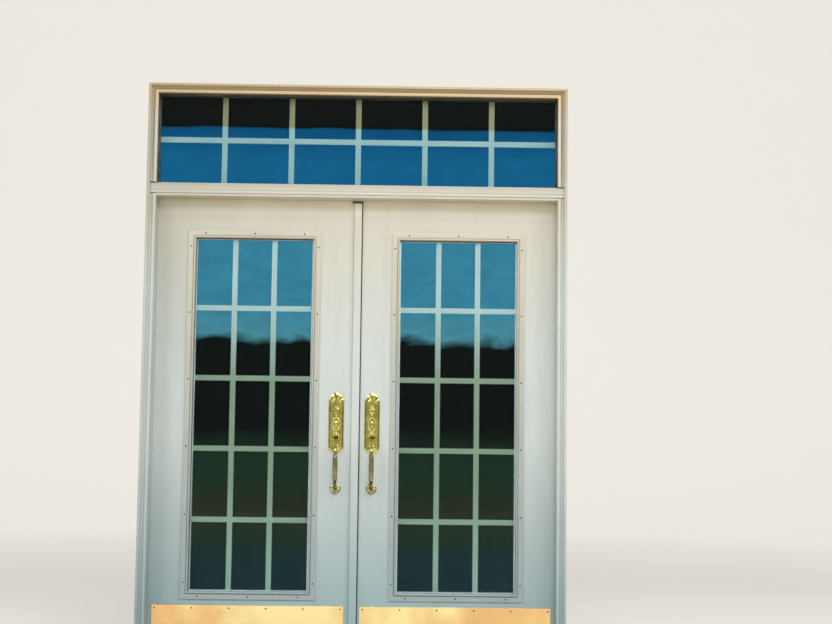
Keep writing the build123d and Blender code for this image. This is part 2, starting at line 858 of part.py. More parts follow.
def make_astragal():
    """T-shaped astragal on the left leaf's edge: a bored stem with a moulded flange glued on."""
    back = stop_depth
    front = flange_front
    with BuildPart() as astragal:
        with BuildSketch(Plane.XY.offset(leaf_bottom)):
            with Locations((stem_middle, leaf_middle)):
                Rectangle(stem_thickness, leaf_thickness)
        extrude(amount=leaf_height)
        with BuildSketch(Plane.XY.offset(leaf_bottom + flange_sill_gap)):
            with BuildLine():
                Polyline(
                    (flange_low_x, front + flange_step), (flange_low_x, back), (flange_high_x, back),
                    (flange_high_x, front + flange_step),
                )
                RadiusArc(
                    (flange_high_x, front + flange_step), (flange_high_x - flange_edge, front),
                    flange_edge,
                )
                Line((flange_high_x - flange_edge, front), (flange_low_x + flange_edge, front))
                RadiusArc(
                    (flange_low_x + flange_edge, front), (flange_low_x, front + flange_step),
                    flange_edge,
                )
            make_face()
            with Locations((stem_middle, (back + glue_line + leaf_front) / 2)):
                Rectangle(stem_thickness, leaf_front - back - glue_line)
        extrude(amount=head_stop - flange_head_gap - leaf_bottom - flange_sill_gap)
        cut_flush_bore(leaf_top, -1)
        cut_flush_bore(leaf_bottom, 1)
        cut_bolt_pocket(latch_z, latch_height_of_bolt)
        cut_bolt_pocket(deadbolt_z, deadbolt_height)
    return astragal


def cut_flush_bore(end, inward):
    """Bore and finger slot for one flush bolt, from the given end of the astragal."""
    depth = flush_length + 2 * flush_end_gap
    button = end + inward * (flush_end_gap + flush_button_from_end)
    slot = flush_button_height + flush_travel + 2 * flush_end_gap
    slot_middle = button - inward * flush_travel / 2
    slot_depth = stem_face - stem_middle
    with Locations((stem_middle, leaf_middle, end + inward * depth / 2)):
        Cylinder(flush_rod_radius + flush_play, depth, mode=Mode.SUBTRACT)
    with Locations((stem_middle + slot_depth / 2, leaf_middle, slot_middle)):
        Box(slot_depth, flush_button_width + 2 * flush_play, slot, mode=Mode.SUBTRACT)


def cut_bolt_pocket(z, height):
    """Pocket for a lock bolt through the astragal's stem, with a mortise for its strike."""
    with Locations((stem_middle, leaf_middle, z)):
        Box(
            stem_thickness, bolt_width + 2 * pocket_play, height + 2 * pocket_play,
            mode=Mode.SUBTRACT,
        )
    with Locations((stem_face - strike_thickness / 2, leaf_middle, z)):
        Box(strike_thickness, strike_width, strike_height, mode=Mode.SUBTRACT)


def make_strikes():
    """Strike plates of the latch and the deadbolt, let into the astragal."""
    with BuildPart() as strikes:
        for z, height in ((latch_z, latch_height_of_bolt), (deadbolt_z, deadbolt_height)):
            plane = Plane(origin=(stem_face, leaf_middle, z), x_dir=(0, 1, 0), z_dir=(-1, 0, 0))
            with BuildSketch(plane):
                Rectangle(strike_width, strike_height)
                Rectangle(
                    bolt_width + 2 * pocket_play, height + 2 * pocket_play, mode=Mode.SUBTRACT
                )
            extrude(amount=strike_thickness)
    return strikes


def make_astragal_seal():
    """Soft strip on the back of the astragal's flange, which the active leaf closes on."""
    low_x = stem_face
    high_x = flange_high_x - flange_edge
    with BuildPart() as seal:
        with BuildSketch(Plane.XY.offset(leaf_bottom + flange_sill_gap)):
            with Locations(((low_x + high_x) / 2, stop_depth + (seal_gap - seat_clearance) / 2)):
                Rectangle(high_x - low_x, seal_gap - seat_clearance)
        extrude(amount=head_stop - flange_head_gap - leaf_bottom - flange_sill_gap)
    return seal


def make_flush_bolt(end, inward):
    """Round rod with a finger button, drawn back inside the astragal's end."""
    tip = end + inward * flush_end_gap
    button = tip + inward * flush_button_from_end
    with BuildPart() as bolt:
        with Locations((stem_middle, leaf_middle, tip + inward * flush_length / 2)):
            Cylinder(flush_rod_radius, flush_length)
        with Locations((stem_middle + flush_rod_radius, leaf_middle, button)):
            Box(
                2 * (stem_face - stem_middle - flush_rod_radius), flush_button_width,
                flush_button_height,
            )
    return bolt


# Lock

def make_bolt_cases():
    """Tubular cases of the latch and the deadbolt with their faceplates."""
    with BuildPart() as cases:
        for z, height in ((latch_z, latch_height_of_bolt), (deadbolt_z, deadbolt_height)):
            mouth = Plane(origin=(leaf_inner_edge, leaf_middle, z), x_dir=(0, 1, 0), z_dir=(1, 0, 0))
            with BuildSketch(mouth):
                Rectangle(faceplate_width, faceplate_height)
            extrude(amount=faceplate_thickness)
            with BuildSketch(mouth.offset(faceplate_thickness)):
                Circle(case_radius)
            extrude(amount=case_length - faceplate_thickness)
            with BuildSketch(mouth):
                Rectangle(bolt_width + 2 * bolt_play, height + 2 * bolt_play)
            extrude(amount=case_length, mode=Mode.SUBTRACT)
    return cases


def make_bolt(z, height, bevelled):
    """Sliding bolt drawn back into its case; a latch has a slanted closing face."""
    tip = leaf_inner_edge + bolt_tip_inset
    low = leaf_middle - bolt_width / 2
    high = leaf_middle + bolt_width / 2
    with BuildPart() as bolt:
        with BuildSketch(Plane.XY.offset(z - height / 2)):
            if bevelled:
                closed([
                    (tip, high), (tip + bolt_length, high), (tip + bolt_length, low),
                    (tip + bolt_width, low), (tip, high - bolt_nose),
                ])
            else:
                closed([
                    (tip + bolt_nose, high), (tip + bolt_length, high), (tip + bolt_length, low),
                    (tip + bolt_nose, low), (tip, low + bolt_nose), (tip, high - bolt_nose),
                ])
        extrude(amount=height)
    return bolt


# Exterior handlesets

def plate_outline(shrink=0.0):
    """Tall plate with an arched lobe at each end, in the current sketch; z runs from the latch."""
    body = plate_body_top - plate_body_bottom
    with Locations((0, (plate_body_top + plate_body_bottom) / 2)):
        Rectangle(plate_width - 2 * shrink, body - 2 * shrink)
    with Locations(
        (0, plate_body_top + plate_arch_rise_top - plate_arch_radius),
        (0, plate_body_bottom - plate_arch_rise_bottom + plate_arch_radius),
    ):
        Circle(plate_arch_radius - shrink)


def shoulders(outline):
    """Hollow corners where the arched lobes meet the plate's body."""
    limit = plate_width / 2 - 2 * plate_rim + plate_bevel
    return outline.vertices().filter_by(lambda corner: abs(corner.X) < limit)


def make_escutcheon(side, pierced):
    """Cast handleset plate: rim, sunk field, cylinder collar and thumb piece boss."""
    x = side * lock_x
    base = facade(leaf_front, x, latch_z)
    field = plate_thickness - plate_recess
    with BuildPart() as plate:
        with BuildSketch(base) as outline:
            plate_outline()
            fillet(shoulders(outline), plate_shoulder_fillet)
        extrude(amount=plate_thickness)
        chamfer(plate.faces().sort_by(Axis.Y)[0].edges(), plate_bevel)
        with BuildSketch(base.offset(field)) as sunk:
            plate_outline(plate_rim)
            fillet(shoulders(sunk), plate_shoulder_fillet)
        extrude(amount=plate_recess, mode=Mode.SUBTRACT)
        with BuildSketch(base.offset(field)):
            with Locations((0, deadbolt_rise)):
                Circle(cylinder_radius)
        extrude(amount=cylinder_proud - field, taper=collar_taper)
        with BuildSketch(base.offset(field)):
            with Locations((0, thumb_rise)):
                Circle(thumb_boss_radius)
            with Locations((0, (thumb_rise + deadbolt_rise) / 2)):
                Ellipse(cartouche_half_width, cartouche_half_height)
                Ellipse(
                    cartouche_half_width - cartouche_band, cartouche_half_height - cartouche_band,
                    mode=Mode.SUBTRACT,
                )
        extrude(amount=thumb_boss_proud)
        if pierced:
            with BuildSketch(base):
                with Locations((0, deadbolt_rise)):
                    Circle(plug_radius + plug_play)
                with Locations((0, thumb_rise)):
                    Rectangle(thumb_slot_width, thumb_slot_height)
            extrude(amount=cylinder_proud, mode=Mode.SUBTRACT)
    return plate


def thumb_piece_profile(tail):
    """Side view of the thumb piece about its pivot: a cupped pad outdoors, a short lever inside."""
    half = thumb_thickness / 2
    with BuildLine() as outline:
        Polyline(
            (0, half), (tail, half), (tail, -half), (0, -half),
            (-thumb_reach / 2, -thumb_thickness),
        )
        ThreePointArc(
            (-thumb_reach / 2, -thumb_thickness), (-thumb_belly_reach, -thumb_belly),
            (-thumb_reach, 0),
        )
        Line((-thumb_reach, 0), (-thumb_reach + half, half))
        ThreePointArc((-thumb_reach + half, half), (-thumb_reach / 2, 0), (0, half))
    make_face(outline.edges())


def make_thumb_piece(side, tail):
    """Thumb piece, pressed down."""
    tilt = radians(thumb_pressed_deg)
    pivot = Plane(
        origin=(side * lock_x - thumb_width / 2, thumb_pivot_y, thumb_z),
        x_dir=(0, cos(tilt), sin(tilt)), z_dir=(1, 0, 0),
    )
    with BuildPart() as thumb:
        with BuildSketch(pivot):
            thumb_piece_profile(tail)
            Circle(thumb_hub_radius)
        extrude(amount=thumb_width)
    return thumb


def make_key_plug():
    """Rotating plug of the outside cylinder, with its keyway."""
    face = leaf_front - cylinder_proud
    with BuildPart() as plug:
        with BuildSketch(facade(face + plug_length, lock_x, deadbolt_z)):
            Circle(plug_radius)
        extrude(amount=plug_length)
        with BuildSketch(facade(face + keyway_depth, lock_x, deadbolt_z)):
            Rectangle(keyway_width, keyway_height)
        extrude(amount=keyway_depth, mode=Mode.SUBTRACT)
    return plug


def make_grip(side):
    """Curved grip: bent rod with a turned barrel between collars, ending in a round rosette."""
    x = side * lock_x
    top = latch_z - grip_top_drop
    bottom = latch_z - grip_bottom_drop
    plate_face = leaf_front - plate_thickness + plate_recess
    barrel_top = latch_z - grip_collar_top
    barrel_bottom = latch_z - grip_collar_bottom
    rosette_face = leaf_front - rosette_thickness
    with BuildPart() as grip:
        with BuildLine(cross_section(x)) as path:
            FilletPolyline(
                (plate_face, top), (grip_y, top), (grip_y, bottom), (leaf_front, bottom),
                radius=grip_elbow_radius,
            )
        with BuildSketch(facade(plate_face, x, top)):
            Circle(grip_rod_radius)
        sweep(path=path.wires()[0])
        with BuildSketch(Plane(origin=(x, grip_y, 0), x_dir=(1, 0, 0), z_dir=(0, -1, 0))):
            barrel_profile(barrel_bottom, barrel_top)
        revolve(axis=Axis((x, grip_y, 0), (0, 0, 1)))
        with BuildSketch(facade(leaf_front, x, bottom)):
            Circle(rosette_radius)
        extrude(amount=rosette_thickness)
        with BuildSketch(facade(rosette_face, x, bottom)):
            Circle(rosette_radius - rosette_step)
        extrude(amount=rosette_thickness, taper=rosette_taper)
    return grip


def barrel_profile(low, high):
    """Half section of the grip's barrel: two ringed ends and a swelling shaft between them."""
    waist = grip_rod_radius + barrel_waist
    swell = waist + barrel_swell
    ring = waist + barrel_ring
    shaft_low = low + 2 * barrel_collar
    shaft_high = high - 2 * barrel_collar
    with BuildLine() as outline:
        Polyline(
            (waist, shaft_high), (ring, shaft_high), (ring, high - barrel_collar),
            (waist, high - barrel_collar), (ring, high), (0, high), (0, low), (ring, low),
            (waist, low + barrel_collar), (ring, low + barrel_collar), (ring, shaft_low),
            (waist, shaft_low),
        )
        ThreePointArc((waist, shaft_low), (swell, (shaft_low + shaft_high) / 2), (waist, shaft_high))
    make_face(outline.edges())


# Interior trim

def make_inside_plate(side, pierced):
    """Plain arched plate on the indoor face, with a rose for the thumb turn on the active leaf."""
    body = deadbolt_rise + 2 * inside_arch_radius
    back = Plane(
        origin=(side * lock_x, jamb_depth, latch_z + deadbolt_rise / 2), x_dir=(-1, 0, 0),
        z_dir=(0, 1, 0),
    )
    with BuildPart() as plate:
        with BuildSketch(back):
            Rectangle(inside_plate_width, body)
            with Locations((0, body / 2), (0, -body / 2)):
                Circle(inside_arch_radius)
        extrude(amount=inside_plate_thickness)
        chamfer(plate.faces().sort_by(Axis.Y)[-1].edges(), plate_bevel)
        if pierced:
            with BuildSketch(back.offset(inside_plate_thickness)):
                with Locations((0, deadbolt_rise / 2)):
                    Circle(turn_rose_radius)
            extrude(amount=turn_rose_thickness)
            with BuildSketch(back):
                with Locations((0, -deadbolt_rise / 2)):
                    Circle(knob_neck_radius + bolt_play)
                with Locations((0, deadbolt_rise / 2)):
                    Circle(turn_spindle_radius + bolt_play)
            extrude(amount=inside_plate_thickness + turn_rose_thickness, mode=Mode.SUBTRACT)
    return plate


def make_knob(side, start):
    """Turned round knob on its neck, the neck starting at the given depth."""
    x = side * lock_x
    face = jamb_depth + inside_plate_thickness
    neck_end = face + knob_neck_length
    crown = neck_end + knob_depth
    widest = neck_end + knob_widest
    collar = knob_neck_radius + knob_collar
    with BuildPart() as knob:
        with BuildSketch(Plane(origin=(x, 0, latch_z), x_dir=(0, 1, 0), z_dir=(0, 0, 1))):
            with BuildLine():
                Polyline(
                    (crown, 0), (start, 0), (start, knob_neck_radius),
                    (neck_end - knob_collar, knob_neck_radius), (neck_end, collar),
                )
                ThreePointArc(
                    (neck_end, collar), (neck_end + knob_rise, knob_radius - knob_collar),
                    (widest, knob_radius),
                )
                ThreePointArc(
                    (widest, knob_radius), (crown - knob_collar, knob_radius * knob_crown),
                    (crown, knob_flat_radius),
                )
                Line((crown, knob_flat_radius), (crown, 0))
            make_face()
        revolve(axis=Axis((x, 0, latch_z), (0, 1, 0)))
    return knob


def make_inside_knob():
    """Indoor knob of the active leaf with its square spindle."""
    plate_face = jamb_depth + inside_plate_thickness
    with BuildPart() as knob:
        add(make_knob(1, jamb_depth + bolt_play).part)
        with Locations((lock_x, plate_face - spindle_length / 2, latch_z)):
            Box(spindle_side, spindle_length, spindle_side)
    return knob


def make_dummy_trim():
    """Indoor trim of the left leaf: plate and fixed knob in one."""
    with BuildPart() as trim:
        add(make_inside_plate(-1, False).part)
        add(make_knob(-1, jamb_depth).part)
    return trim


def make_dummy_escutcheon():
    """Handleset plate of the left leaf: a blank cylinder and a fixed thumb piece."""
    with BuildPart() as plate:
        add(make_escutcheon(-1, False).part)
        add(make_thumb_piece(-1, thumb_thickness / 2).part)
    return plate


def make_thumb_turn():
    """Indoor thumb turn of the deadbolt on its round spindle."""
    face = jamb_depth + inside_plate_thickness + turn_rose_thickness
    with BuildPart() as turn:
        with BuildSketch(facade(face + turn_reach / 2, lock_x, deadbolt_z)):
            Circle(turn_spindle_radius)
        extrude(amount=spindle_length)
        with BuildSketch(facade(face + turn_reach, lock_x, deadbolt_z)):
            SlotOverall(turn_length, turn_width, rotation=90)
        extrude(amount=turn_reach - seat_clearance)
    return turn


def write_frame():
    """Pieces that stay with the wall."""
    side_jamb = make_side_jamb()
    save(side_jamb, "right_jamb")
    save_mirrored(side_jamb, "left_jamb")
    save(make_head_jamb(), "head_jamb")
    save(make_sill(), "sill")
    save(make_sill_cap(), "sill_cap")
    save(make_flush_strikes(), "flush_bolt_strikes")
    save(make_weatherstrip(), "door_weatherstrip")
    save(both_sides(make_hinge_leaves(True)), "frame_hinge_leaves")
    save(both_sides(make_hinge_pins()), "hinge_pins")
    casing_leg = make_casing_leg()
    save(casing_leg, "casing_right")
    save_mirrored(casing_leg, "casing_left")
    save(make_casing_head(), "casing_head")
    save(make_mull_cover(), "mull_cover")


def write_transom():
    """The fixed light above the doors."""
    edge = rabbet - transom_edge_room
    width = 2 * (half_stop + edge)
    height = transom_opening + 2 * edge
    middle = (transom_low_stop + transom_high_stop) / 2
    unit = (width, height, transom_stop_depth, 0, middle)
    clear = width - 2 * (spacer_inset + spacer_width)
    column_pitch = (clear + transom_bar_width) / transom_columns
    save(make_transom_rail(transom_low_rabbet, transom_low_stop), "transom_sill_jamb")
    save(make_transom_rail(transom_high_rabbet, transom_high_stop), "transom_head_jamb")
    save(make_transom_sides(), "transom_side_jambs")
    save(make_panes(*unit), "transom_glass")
    save(make_spacer(*unit), "transom_spacer")
    save(
        make_grille(
            *unit, transom_columns, transom_rows, column_pitch, transom_opening / transom_rows,
            transom_bar_width,
        ),
        "transom_grille",
    )
    save(make_transom_stops(), "transom_stops")


def write_leaf_pieces(side, leaf_name):
    """Pieces that both leaves have alike."""
    x = side * leaf_centre
    unit = (glass_width, glass_height, unit_front, x, lite_centre)
    save(make_lite_frame(x, leaf_front, 1), f"{leaf_name}_lite_frame_outside")
    save(make_lite_frame(x, jamb_depth, -1), f"{leaf_name}_lite_frame_inside")
    save(make_panes(*unit), f"{leaf_name}_lite_glass")
    save(make_spacer(*unit), f"{leaf_name}_lite_spacer")
    save(
        make_grille(
            *unit, lite_columns, lite_rows, lite_open_width / lite_columns,
            lite_open_height / lite_rows, bar_width,
        ),
        f"{leaf_name}_lite_grille",
    )
    save(
        make_screw_heads(x, leaf_front - lite_flange, lite_screw_places()),
        f"{leaf_name}_lite_screws",
    )
    save(make_kick_plate(x), f"{leaf_name}_kick_plate")
    save(
        make_screw_heads(x, leaf_front - kick_thickness, kick_screw_places()),
        f"{leaf_name}_kick_screws",
    )
    save(make_sweep(x), f"{leaf_name}_sweep")
    save(make_grip(side), f"{leaf_name}_grip")


def write_leaves():
    """Both leaves with what each one carries."""
    door_hinges = make_hinge_leaves(False)
    for side, leaf_name in ((-1, "inactive"), (1, "active")):
        write_leaf_pieces(side, leaf_name)
    save(door_hinges, "active_hinge_leaves")
    save_mirrored(door_hinges, "inactive_hinge_leaves")
    save(make_active_leaf(), "active_leaf")
    save(make_inactive_leaf(), "inactive_leaf")
    save(make_astragal(), "astragal")
    save(make_astragal_seal(), "astragal_seal")
    save(make_strikes(), "strike_plates")
    save(make_flush_bolt(leaf_top, -1), "top_flush_bolt")
    save(make_flush_bolt(leaf_bottom, 1), "bottom_flush_bolt")


def write_locks():
    """Handlesets and the lock of the active leaf."""
    save(make_dummy_escutcheon(), "inactive_escutcheon")
    save(make_dummy_trim(), "inactive_inside_trim")
    save(make_escutcheon(1, True), "active_escutcheon")
    save(make_thumb_piece(1, thumb_tail), "active_thumb_piece")
    save(make_key_plug(), "key_plug")
    save(make_bolt_cases(), "bolt_cases")
    save(make_bolt(latch_z, latch_height_of_bolt, True), "latch_bolt")
    save(make_bolt(deadbolt_z, deadbolt_height, False), "deadbolt")
    save(make_inside_plate(1, True), "active_inside_plate")
    save(make_inside_knob(), "active_inside_knob")
    save(make_thumb_turn(), "thumb_turn")


write_frame()
write_transom()
write_leaves()
write_locks()
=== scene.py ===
"""Looks of a double front door with a divided transom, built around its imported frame.

Metres, in the frame's own axes: +X to the right seen from outside, +Y into the house, +Z up.
Outlines are written in millimetres.
"""
import json
from math import cos, radians, sin

import bmesh
import bpy
import numpy as np
from bpy.props import FloatProperty, FloatVectorProperty, IntProperty, PointerProperty
from bpy.types import Operator, Panel, PropertyGroup
from mathutils import Matrix, Vector


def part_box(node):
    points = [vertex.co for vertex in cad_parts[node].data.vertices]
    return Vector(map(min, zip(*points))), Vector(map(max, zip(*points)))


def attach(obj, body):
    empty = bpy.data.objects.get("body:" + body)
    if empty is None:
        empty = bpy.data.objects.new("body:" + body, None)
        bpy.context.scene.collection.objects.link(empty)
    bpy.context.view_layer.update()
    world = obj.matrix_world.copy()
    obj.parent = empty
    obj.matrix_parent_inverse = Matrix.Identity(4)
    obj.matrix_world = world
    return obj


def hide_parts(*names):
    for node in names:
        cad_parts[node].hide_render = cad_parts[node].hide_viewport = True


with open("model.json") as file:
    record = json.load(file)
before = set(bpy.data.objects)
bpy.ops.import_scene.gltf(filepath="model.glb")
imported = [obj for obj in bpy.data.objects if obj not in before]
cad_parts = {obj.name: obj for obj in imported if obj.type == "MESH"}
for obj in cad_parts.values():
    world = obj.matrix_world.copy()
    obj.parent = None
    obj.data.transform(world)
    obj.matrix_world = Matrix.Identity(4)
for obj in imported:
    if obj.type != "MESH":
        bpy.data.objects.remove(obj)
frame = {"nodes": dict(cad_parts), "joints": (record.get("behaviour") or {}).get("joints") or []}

bl_info = {
    "name": "Double Front Door",
    "version": (1, 0, 0),
    "blender": (4, 5, 0),
    "location": "View3D > Sidebar > Front Door",
    "description": "Mouldings, hardware, glass and finishes of a double front door with a transom",
    "category": "Add Mesh",
}

MM = 0.001
RIGHT, OUT, UP = (1, 0, 0), (0, -1, 0), (0, 0, 1)
# Across, out and along, for a moulding that stands and for one that lies level
STANDING, LEVEL = (RIGHT, OUT, UP), (UP, OUT, RIGHT)
# Pieces that would share a face are drawn this far apart.
HAIR = 0.05 * MM
CREASE = radians(35)
SHADER = "Principled BSDF"

# Which side of the middle each leaf is on
LEAVES = {"inactive": -1, "active": 1}
LEAF_LOW, LEAF_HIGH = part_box("active_leaf")
GLASS_LOW, GLASS_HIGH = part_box("active_lite_glass")
TRANSOM_LOW, TRANSOM_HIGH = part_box("transom_glass")
HEAD_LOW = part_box("casing_head")[0]
LEG_LOW, LEG_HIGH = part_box("casing_right")
MULL_LOW, MULL_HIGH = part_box("mull_cover")
PLATE_LOW, PLATE_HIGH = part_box("active_escutcheon")
GRIP_LOW, GRIP_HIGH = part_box("active_grip")
PLUG_LOW, PLUG_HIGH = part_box("key_plug")
LOCK_X = (PLATE_LOW.x + PLATE_HIGH.x) / 2
CYLINDER_Z = (PLUG_LOW.z + PLUG_HIGH.z) / 2
THUMB_PIVOT = next(j["pos_m"] for j in frame["joints"] if j["name"] == "thumb_press")

# Upper band of the mull cover, in millimetres
MULL_BAND = 44.0
# The handleset plate, in millimetres: half its width, its radii, the heights over the latch of its
# lobes' centres, its shoulders and the roots of its shells, and how thick its edge is
PLATE_HALF, LOBE_RADIUS, CORNER_RADIUS = 35.0, 26.0, 6.0
FOOT_LOBE, HEAD_LOBE = -28.0, 198.5
FOOT_SHOULDER, HEAD_SHOULDER = -36.0, 195.5
FOOT_SHELL, HEAD_SHELL = -22.0, 186.0
PLATE_EDGE = 4.2
PLATE_MIDDLE = (FOOT_LOBE + HEAD_LOBE) / 2
LATCH_Z = PLATE_LOW.z + (LOBE_RADIUS - FOOT_LOBE) * MM


# Settings

def linear(hex_colour):
    """An sRGB hex colour as linear red, green, blue and alpha."""
    parts = [int(hex_colour[i:i + 2], 16) / 255 for i in (1, 3, 5)]
    return (*(p / 12.92 if p <= 0.04045 else ((p + 0.055) / 1.055) ** 2.4 for p in parts), 1.0)


def colour(name, description, hex_colour):
    """A colour setting, given as sRGB hex."""
    return FloatVectorProperty(
        name=name, description=description, subtype="COLOR", size=4, min=0, max=1,
        default=linear(hex_colour),
    )


def number(name, description, default, **kind):
    """A number setting, with a unit or subtype where one fits."""
    return FloatProperty(name=name, description=description, default=default, **kind)


def length(name, description, millimetres):
    """A length setting, given in millimetres and kept in metres."""
    return number(name, description, millimetres * MM, unit="LENGTH", precision=5)


def angle(name, description, degrees):
    """An angle setting, given in degrees."""
    return number(name, description, radians(degrees), subtype="ANGLE")


class FrontDoorColours(PropertyGroup):
    """Colours of the door's finishes"""
    # Painted warm shade at the casing head.
    paint_top_warm_shade: colour("Paint round the transom", "Yellowed paint at the very top", "#c9b083")
    # Painted light: warm at the head of the paint.
    paint_head_warm_light: colour("Paint at the head", "Sheltered paint, warm under the moulding", "#c7c3b2")
    # Painted light: these two brighten the leaves' heads in the mull cover's shadow.
    paint_lit_at_top: colour("Paint, sheltered", "Paint at the very head of a leaf", "#ffe6b4")
    paint_lit_under_cover: colour("Paint, lee", "Paint that the cover above keeps dry", "#fbf3da")
    paint_middle: colour("Paint", "Paint at eye height", "#cbd2ce")
    # Painted shade: the paint turns darker and cooler towards the foot.
    paint_foot_shade: colour("Paint at the foot", "Paint that has caught dust and splashes", "#9bb2b5")
    # Painted shade that the paint turns to towards the left jamb.
    damp: colour("Paint, damp", "Dull tone that gathers near the left jamb", "#5d6a6a")
    # Used for a dust film that varies at random, and for painted shade in hollows and joints.
    groove: colour("Dirt in grooves", "Dust that settles in joints and grooves", "#6b583c")
    # Painted shade over the faces round the transom's glass.
    rabbet_shade_tone: colour("Grime", "Soot in the shaded rabbet round the transom's glass", "#3f3226")
    # Painted light: the lite frames turn darker and cooler from head to foot.
    plastic_head: colour("Lite frame head", "Moulded lite frames at their head", "#c7c1ae")
    plastic_foot: colour("Lite frame foot", "Moulded lite frames at their foot", "#9ba9ab")
    glass_clear: colour("Glass, outer pane", "Faint green of the clear outer pane", "#f4faf7")
    # The inner panes' colours below are a painted reflection of sky and trees, in bands by height.
    glass_cloud: colour("Glass, clouded", "What mottles the coated inner pane", "#7f8f88")
    glass_top: colour("Glass, top", "Inner pane's tint at the top of a lite", "#3e91b7")
    glass_pale: colour("Glass, pale band", "Inner pane's tint above its dark middle", "#519ab5")
    glass_dark: colour("Glass, middle", "Inner pane's tint across the middle", "#0e1414")
    glass_green: colour("Glass, low", "Inner pane's tint below the middle", "#21372b")
    glass_earth: colour("Glass, lower band", "Inner pane's brown tint over its foot", "#2f3526")
    glass_foot: colour("Glass, foot", "Inner pane's tint at the foot of a lite", "#153640")
    transom_blue: colour("Transom, low", "Transom pane's tint in its lower row", "#136ca4")
    transom_deep: colour("Transom, middle", "Transom pane's tint under its dark row", "#08578d")
    transom_dark: colour("Transom, head", "Transom pane's tint in its upper row", "#101413")
    # Painted reflection and shade on the grille bars, by height; the streaks are the paint's own.
    bar_head: colour("Grille bars, head", "Coil paint on the bars, high up", "#b4cdd3")
    bar_low: colour("Grille bars, low", "Coil paint on the bars, below the middle", "#899e89")
    bar_foot: colour("Grille bars, foot", "Coil paint on the bars, low down", "#94b4a9")
    bar_transom: colour("Grille bars, transom", "Coil paint on the transom's bars", "#8badb4")
    bar_shaded_head: colour("Grille bars, shaded", "Coil paint at the transom's head", "#847e58")
    bar_streak: colour("Grille bars, streaks", "Faint streaks along the coil paint", "#9aa093")
    spacer: colour("Spacer", "Mill aluminium of the spacer", "#dbe6ee")
    # Painted shade: the transom's spacer is drawn darker than the lites' spacers.
    spacer_shaded: colour("Spacer, transom", "Dulled aluminium of the transom's spacer", "#67655f")
    # A dark strip that stands in for shadow along the head of a pane: painted shadow.
    compound: colour("Glazing compound", "Compound along the head of a lite", "#4c372b")
    # Partly the brass's own yellow, partly a painted reflection of green surroundings.
    brass: colour("Cast brass", "Polished and lacquered cast brass", "#f0e47c")
    brass_indoors: colour("Brass, indoors", "Brass that has had no weather", "#e2c684")
    # Painted shade: the grips' brass is a darker copy of the cast brass.
    brass_grips_shaded: colour("Brass, grips", "Handled brass of the grips and rosettes", "#ded39c")
    brass_edge: colour("Brass, at a glance", "Cast brass seen along its surface", "#6b5c3c")
    # Also darkens the brass's hollows and the grips' necks: patina and painted shade.
    brass_shade: colour("Brass tarnish", "Tarnish under worn lacquer", "#332a14")
    sheet_brass: colour("Sheet brass", "Polished sheet brass of the kick plates", "#ffeaa7")
    sheet_warm: colour("Sheet brass, warm", "Warmer patches of the kick plates", "#f0b272")
    steel: colour("Steel", "Zinc-plated steel", "#b8b6ae")
    screw: colour("Screws", "Oxidised screw heads", "#3d362e")
    sill: colour("Sill", "Mill-finished extruded aluminium", "#b5b3ac")
    cap: colour("Sill cap", "Brown moulded sill cap", "#8a7050")
    rubber: colour("Seals", "Foam seals and vinyl fins", "#3a3833")
    dust: colour("Dust", "Dust on foam, vinyl and moulded plastic", "#a09a8c")
    paper: colour("Floor and backdrop", "Plain pale studio paper", "#e9e5dc")
    paper_shade: colour("Paper, mottled", "Faint patches in the studio paper", "#bdb9b0")


class FrontDoorMouldings(PropertyGroup):
    """Sizes of the painted mouldings and the lite frames"""
    ease: length("Eased edge", "How far boards' edges are rounded", 1.2)
    joint: length("Joint", "Gap between the mull cover's end and the casing", 6.0)
    casing_lip: length("Casing inner bead", "Height of the casing's inner bead", 22.5)
    casing_scoop: length("Casing scoop", "Height of the casing's hollow", 17.0)
    casing_bead: length("Casing outer bead", "Width of the casing's outer bead", 13.0)
    flute: length("Flute depth", "Depth of the flute in the mull cover", 1.4)
    bead_width: length("Glazing bead width", "Raised bead round a lite", 9.0)
    bead_height: length("Glazing bead height", "Bead's height off the leaf", 13.0)
    flange: length("Flange height", "Lite frame flange's height off the leaf", 6.0)
    groove: length("Groove", "Groove between flange and bead", 3.0)
    lite_band: length("Lite frame width", "From the lite frame's outer edge to the glass", 34.5)
    # Height of the strip of painted shadow above each pane.
    compound: length("Glazing compound", "Height of the compound shown above a pane", 4.0)


class FrontDoorHardware(PropertyGroup):
    """Sizes of the handlesets and fixings"""
    plate_rim: length("Plate rim", "Width of the raised rim round the handleset plate", 5.0)
    plate_sink: length("Plate field", "How far the plate's field lies below its rim", 2.5)
    bevel: length("Lobe bevel", "Width of the sloping band round both lobes", 11.0)
    shell: length("Shell relief", "Height of the ribs in the plate's lobes", 1.4)
    ribs: IntProperty(name="Shell ribs", description="Ribs across a lobe of the plate", default=9)
    rod: length("Rod radius", "Radius of the grip's bent rod", 7.0)
    elbow: length("Elbow", "How far a bend starts from its corner", 26.0)
    barrel: length("Barrel radius", "Radius of the grip's barrel at its ends", 10.2)
    rosette: length("Rosette radius", "Radius of the rosette at the grip's foot", 26.0)
    screw: length("Screw head radius", "Radius of the face screws", 3.6)
    # Patina and painted shade together in the brass's hollows.
    tarnish: number(
        "Tarnish", "How dark the brass is in its hollows", 0.85, subtype="FACTOR", min=0, max=1
    )


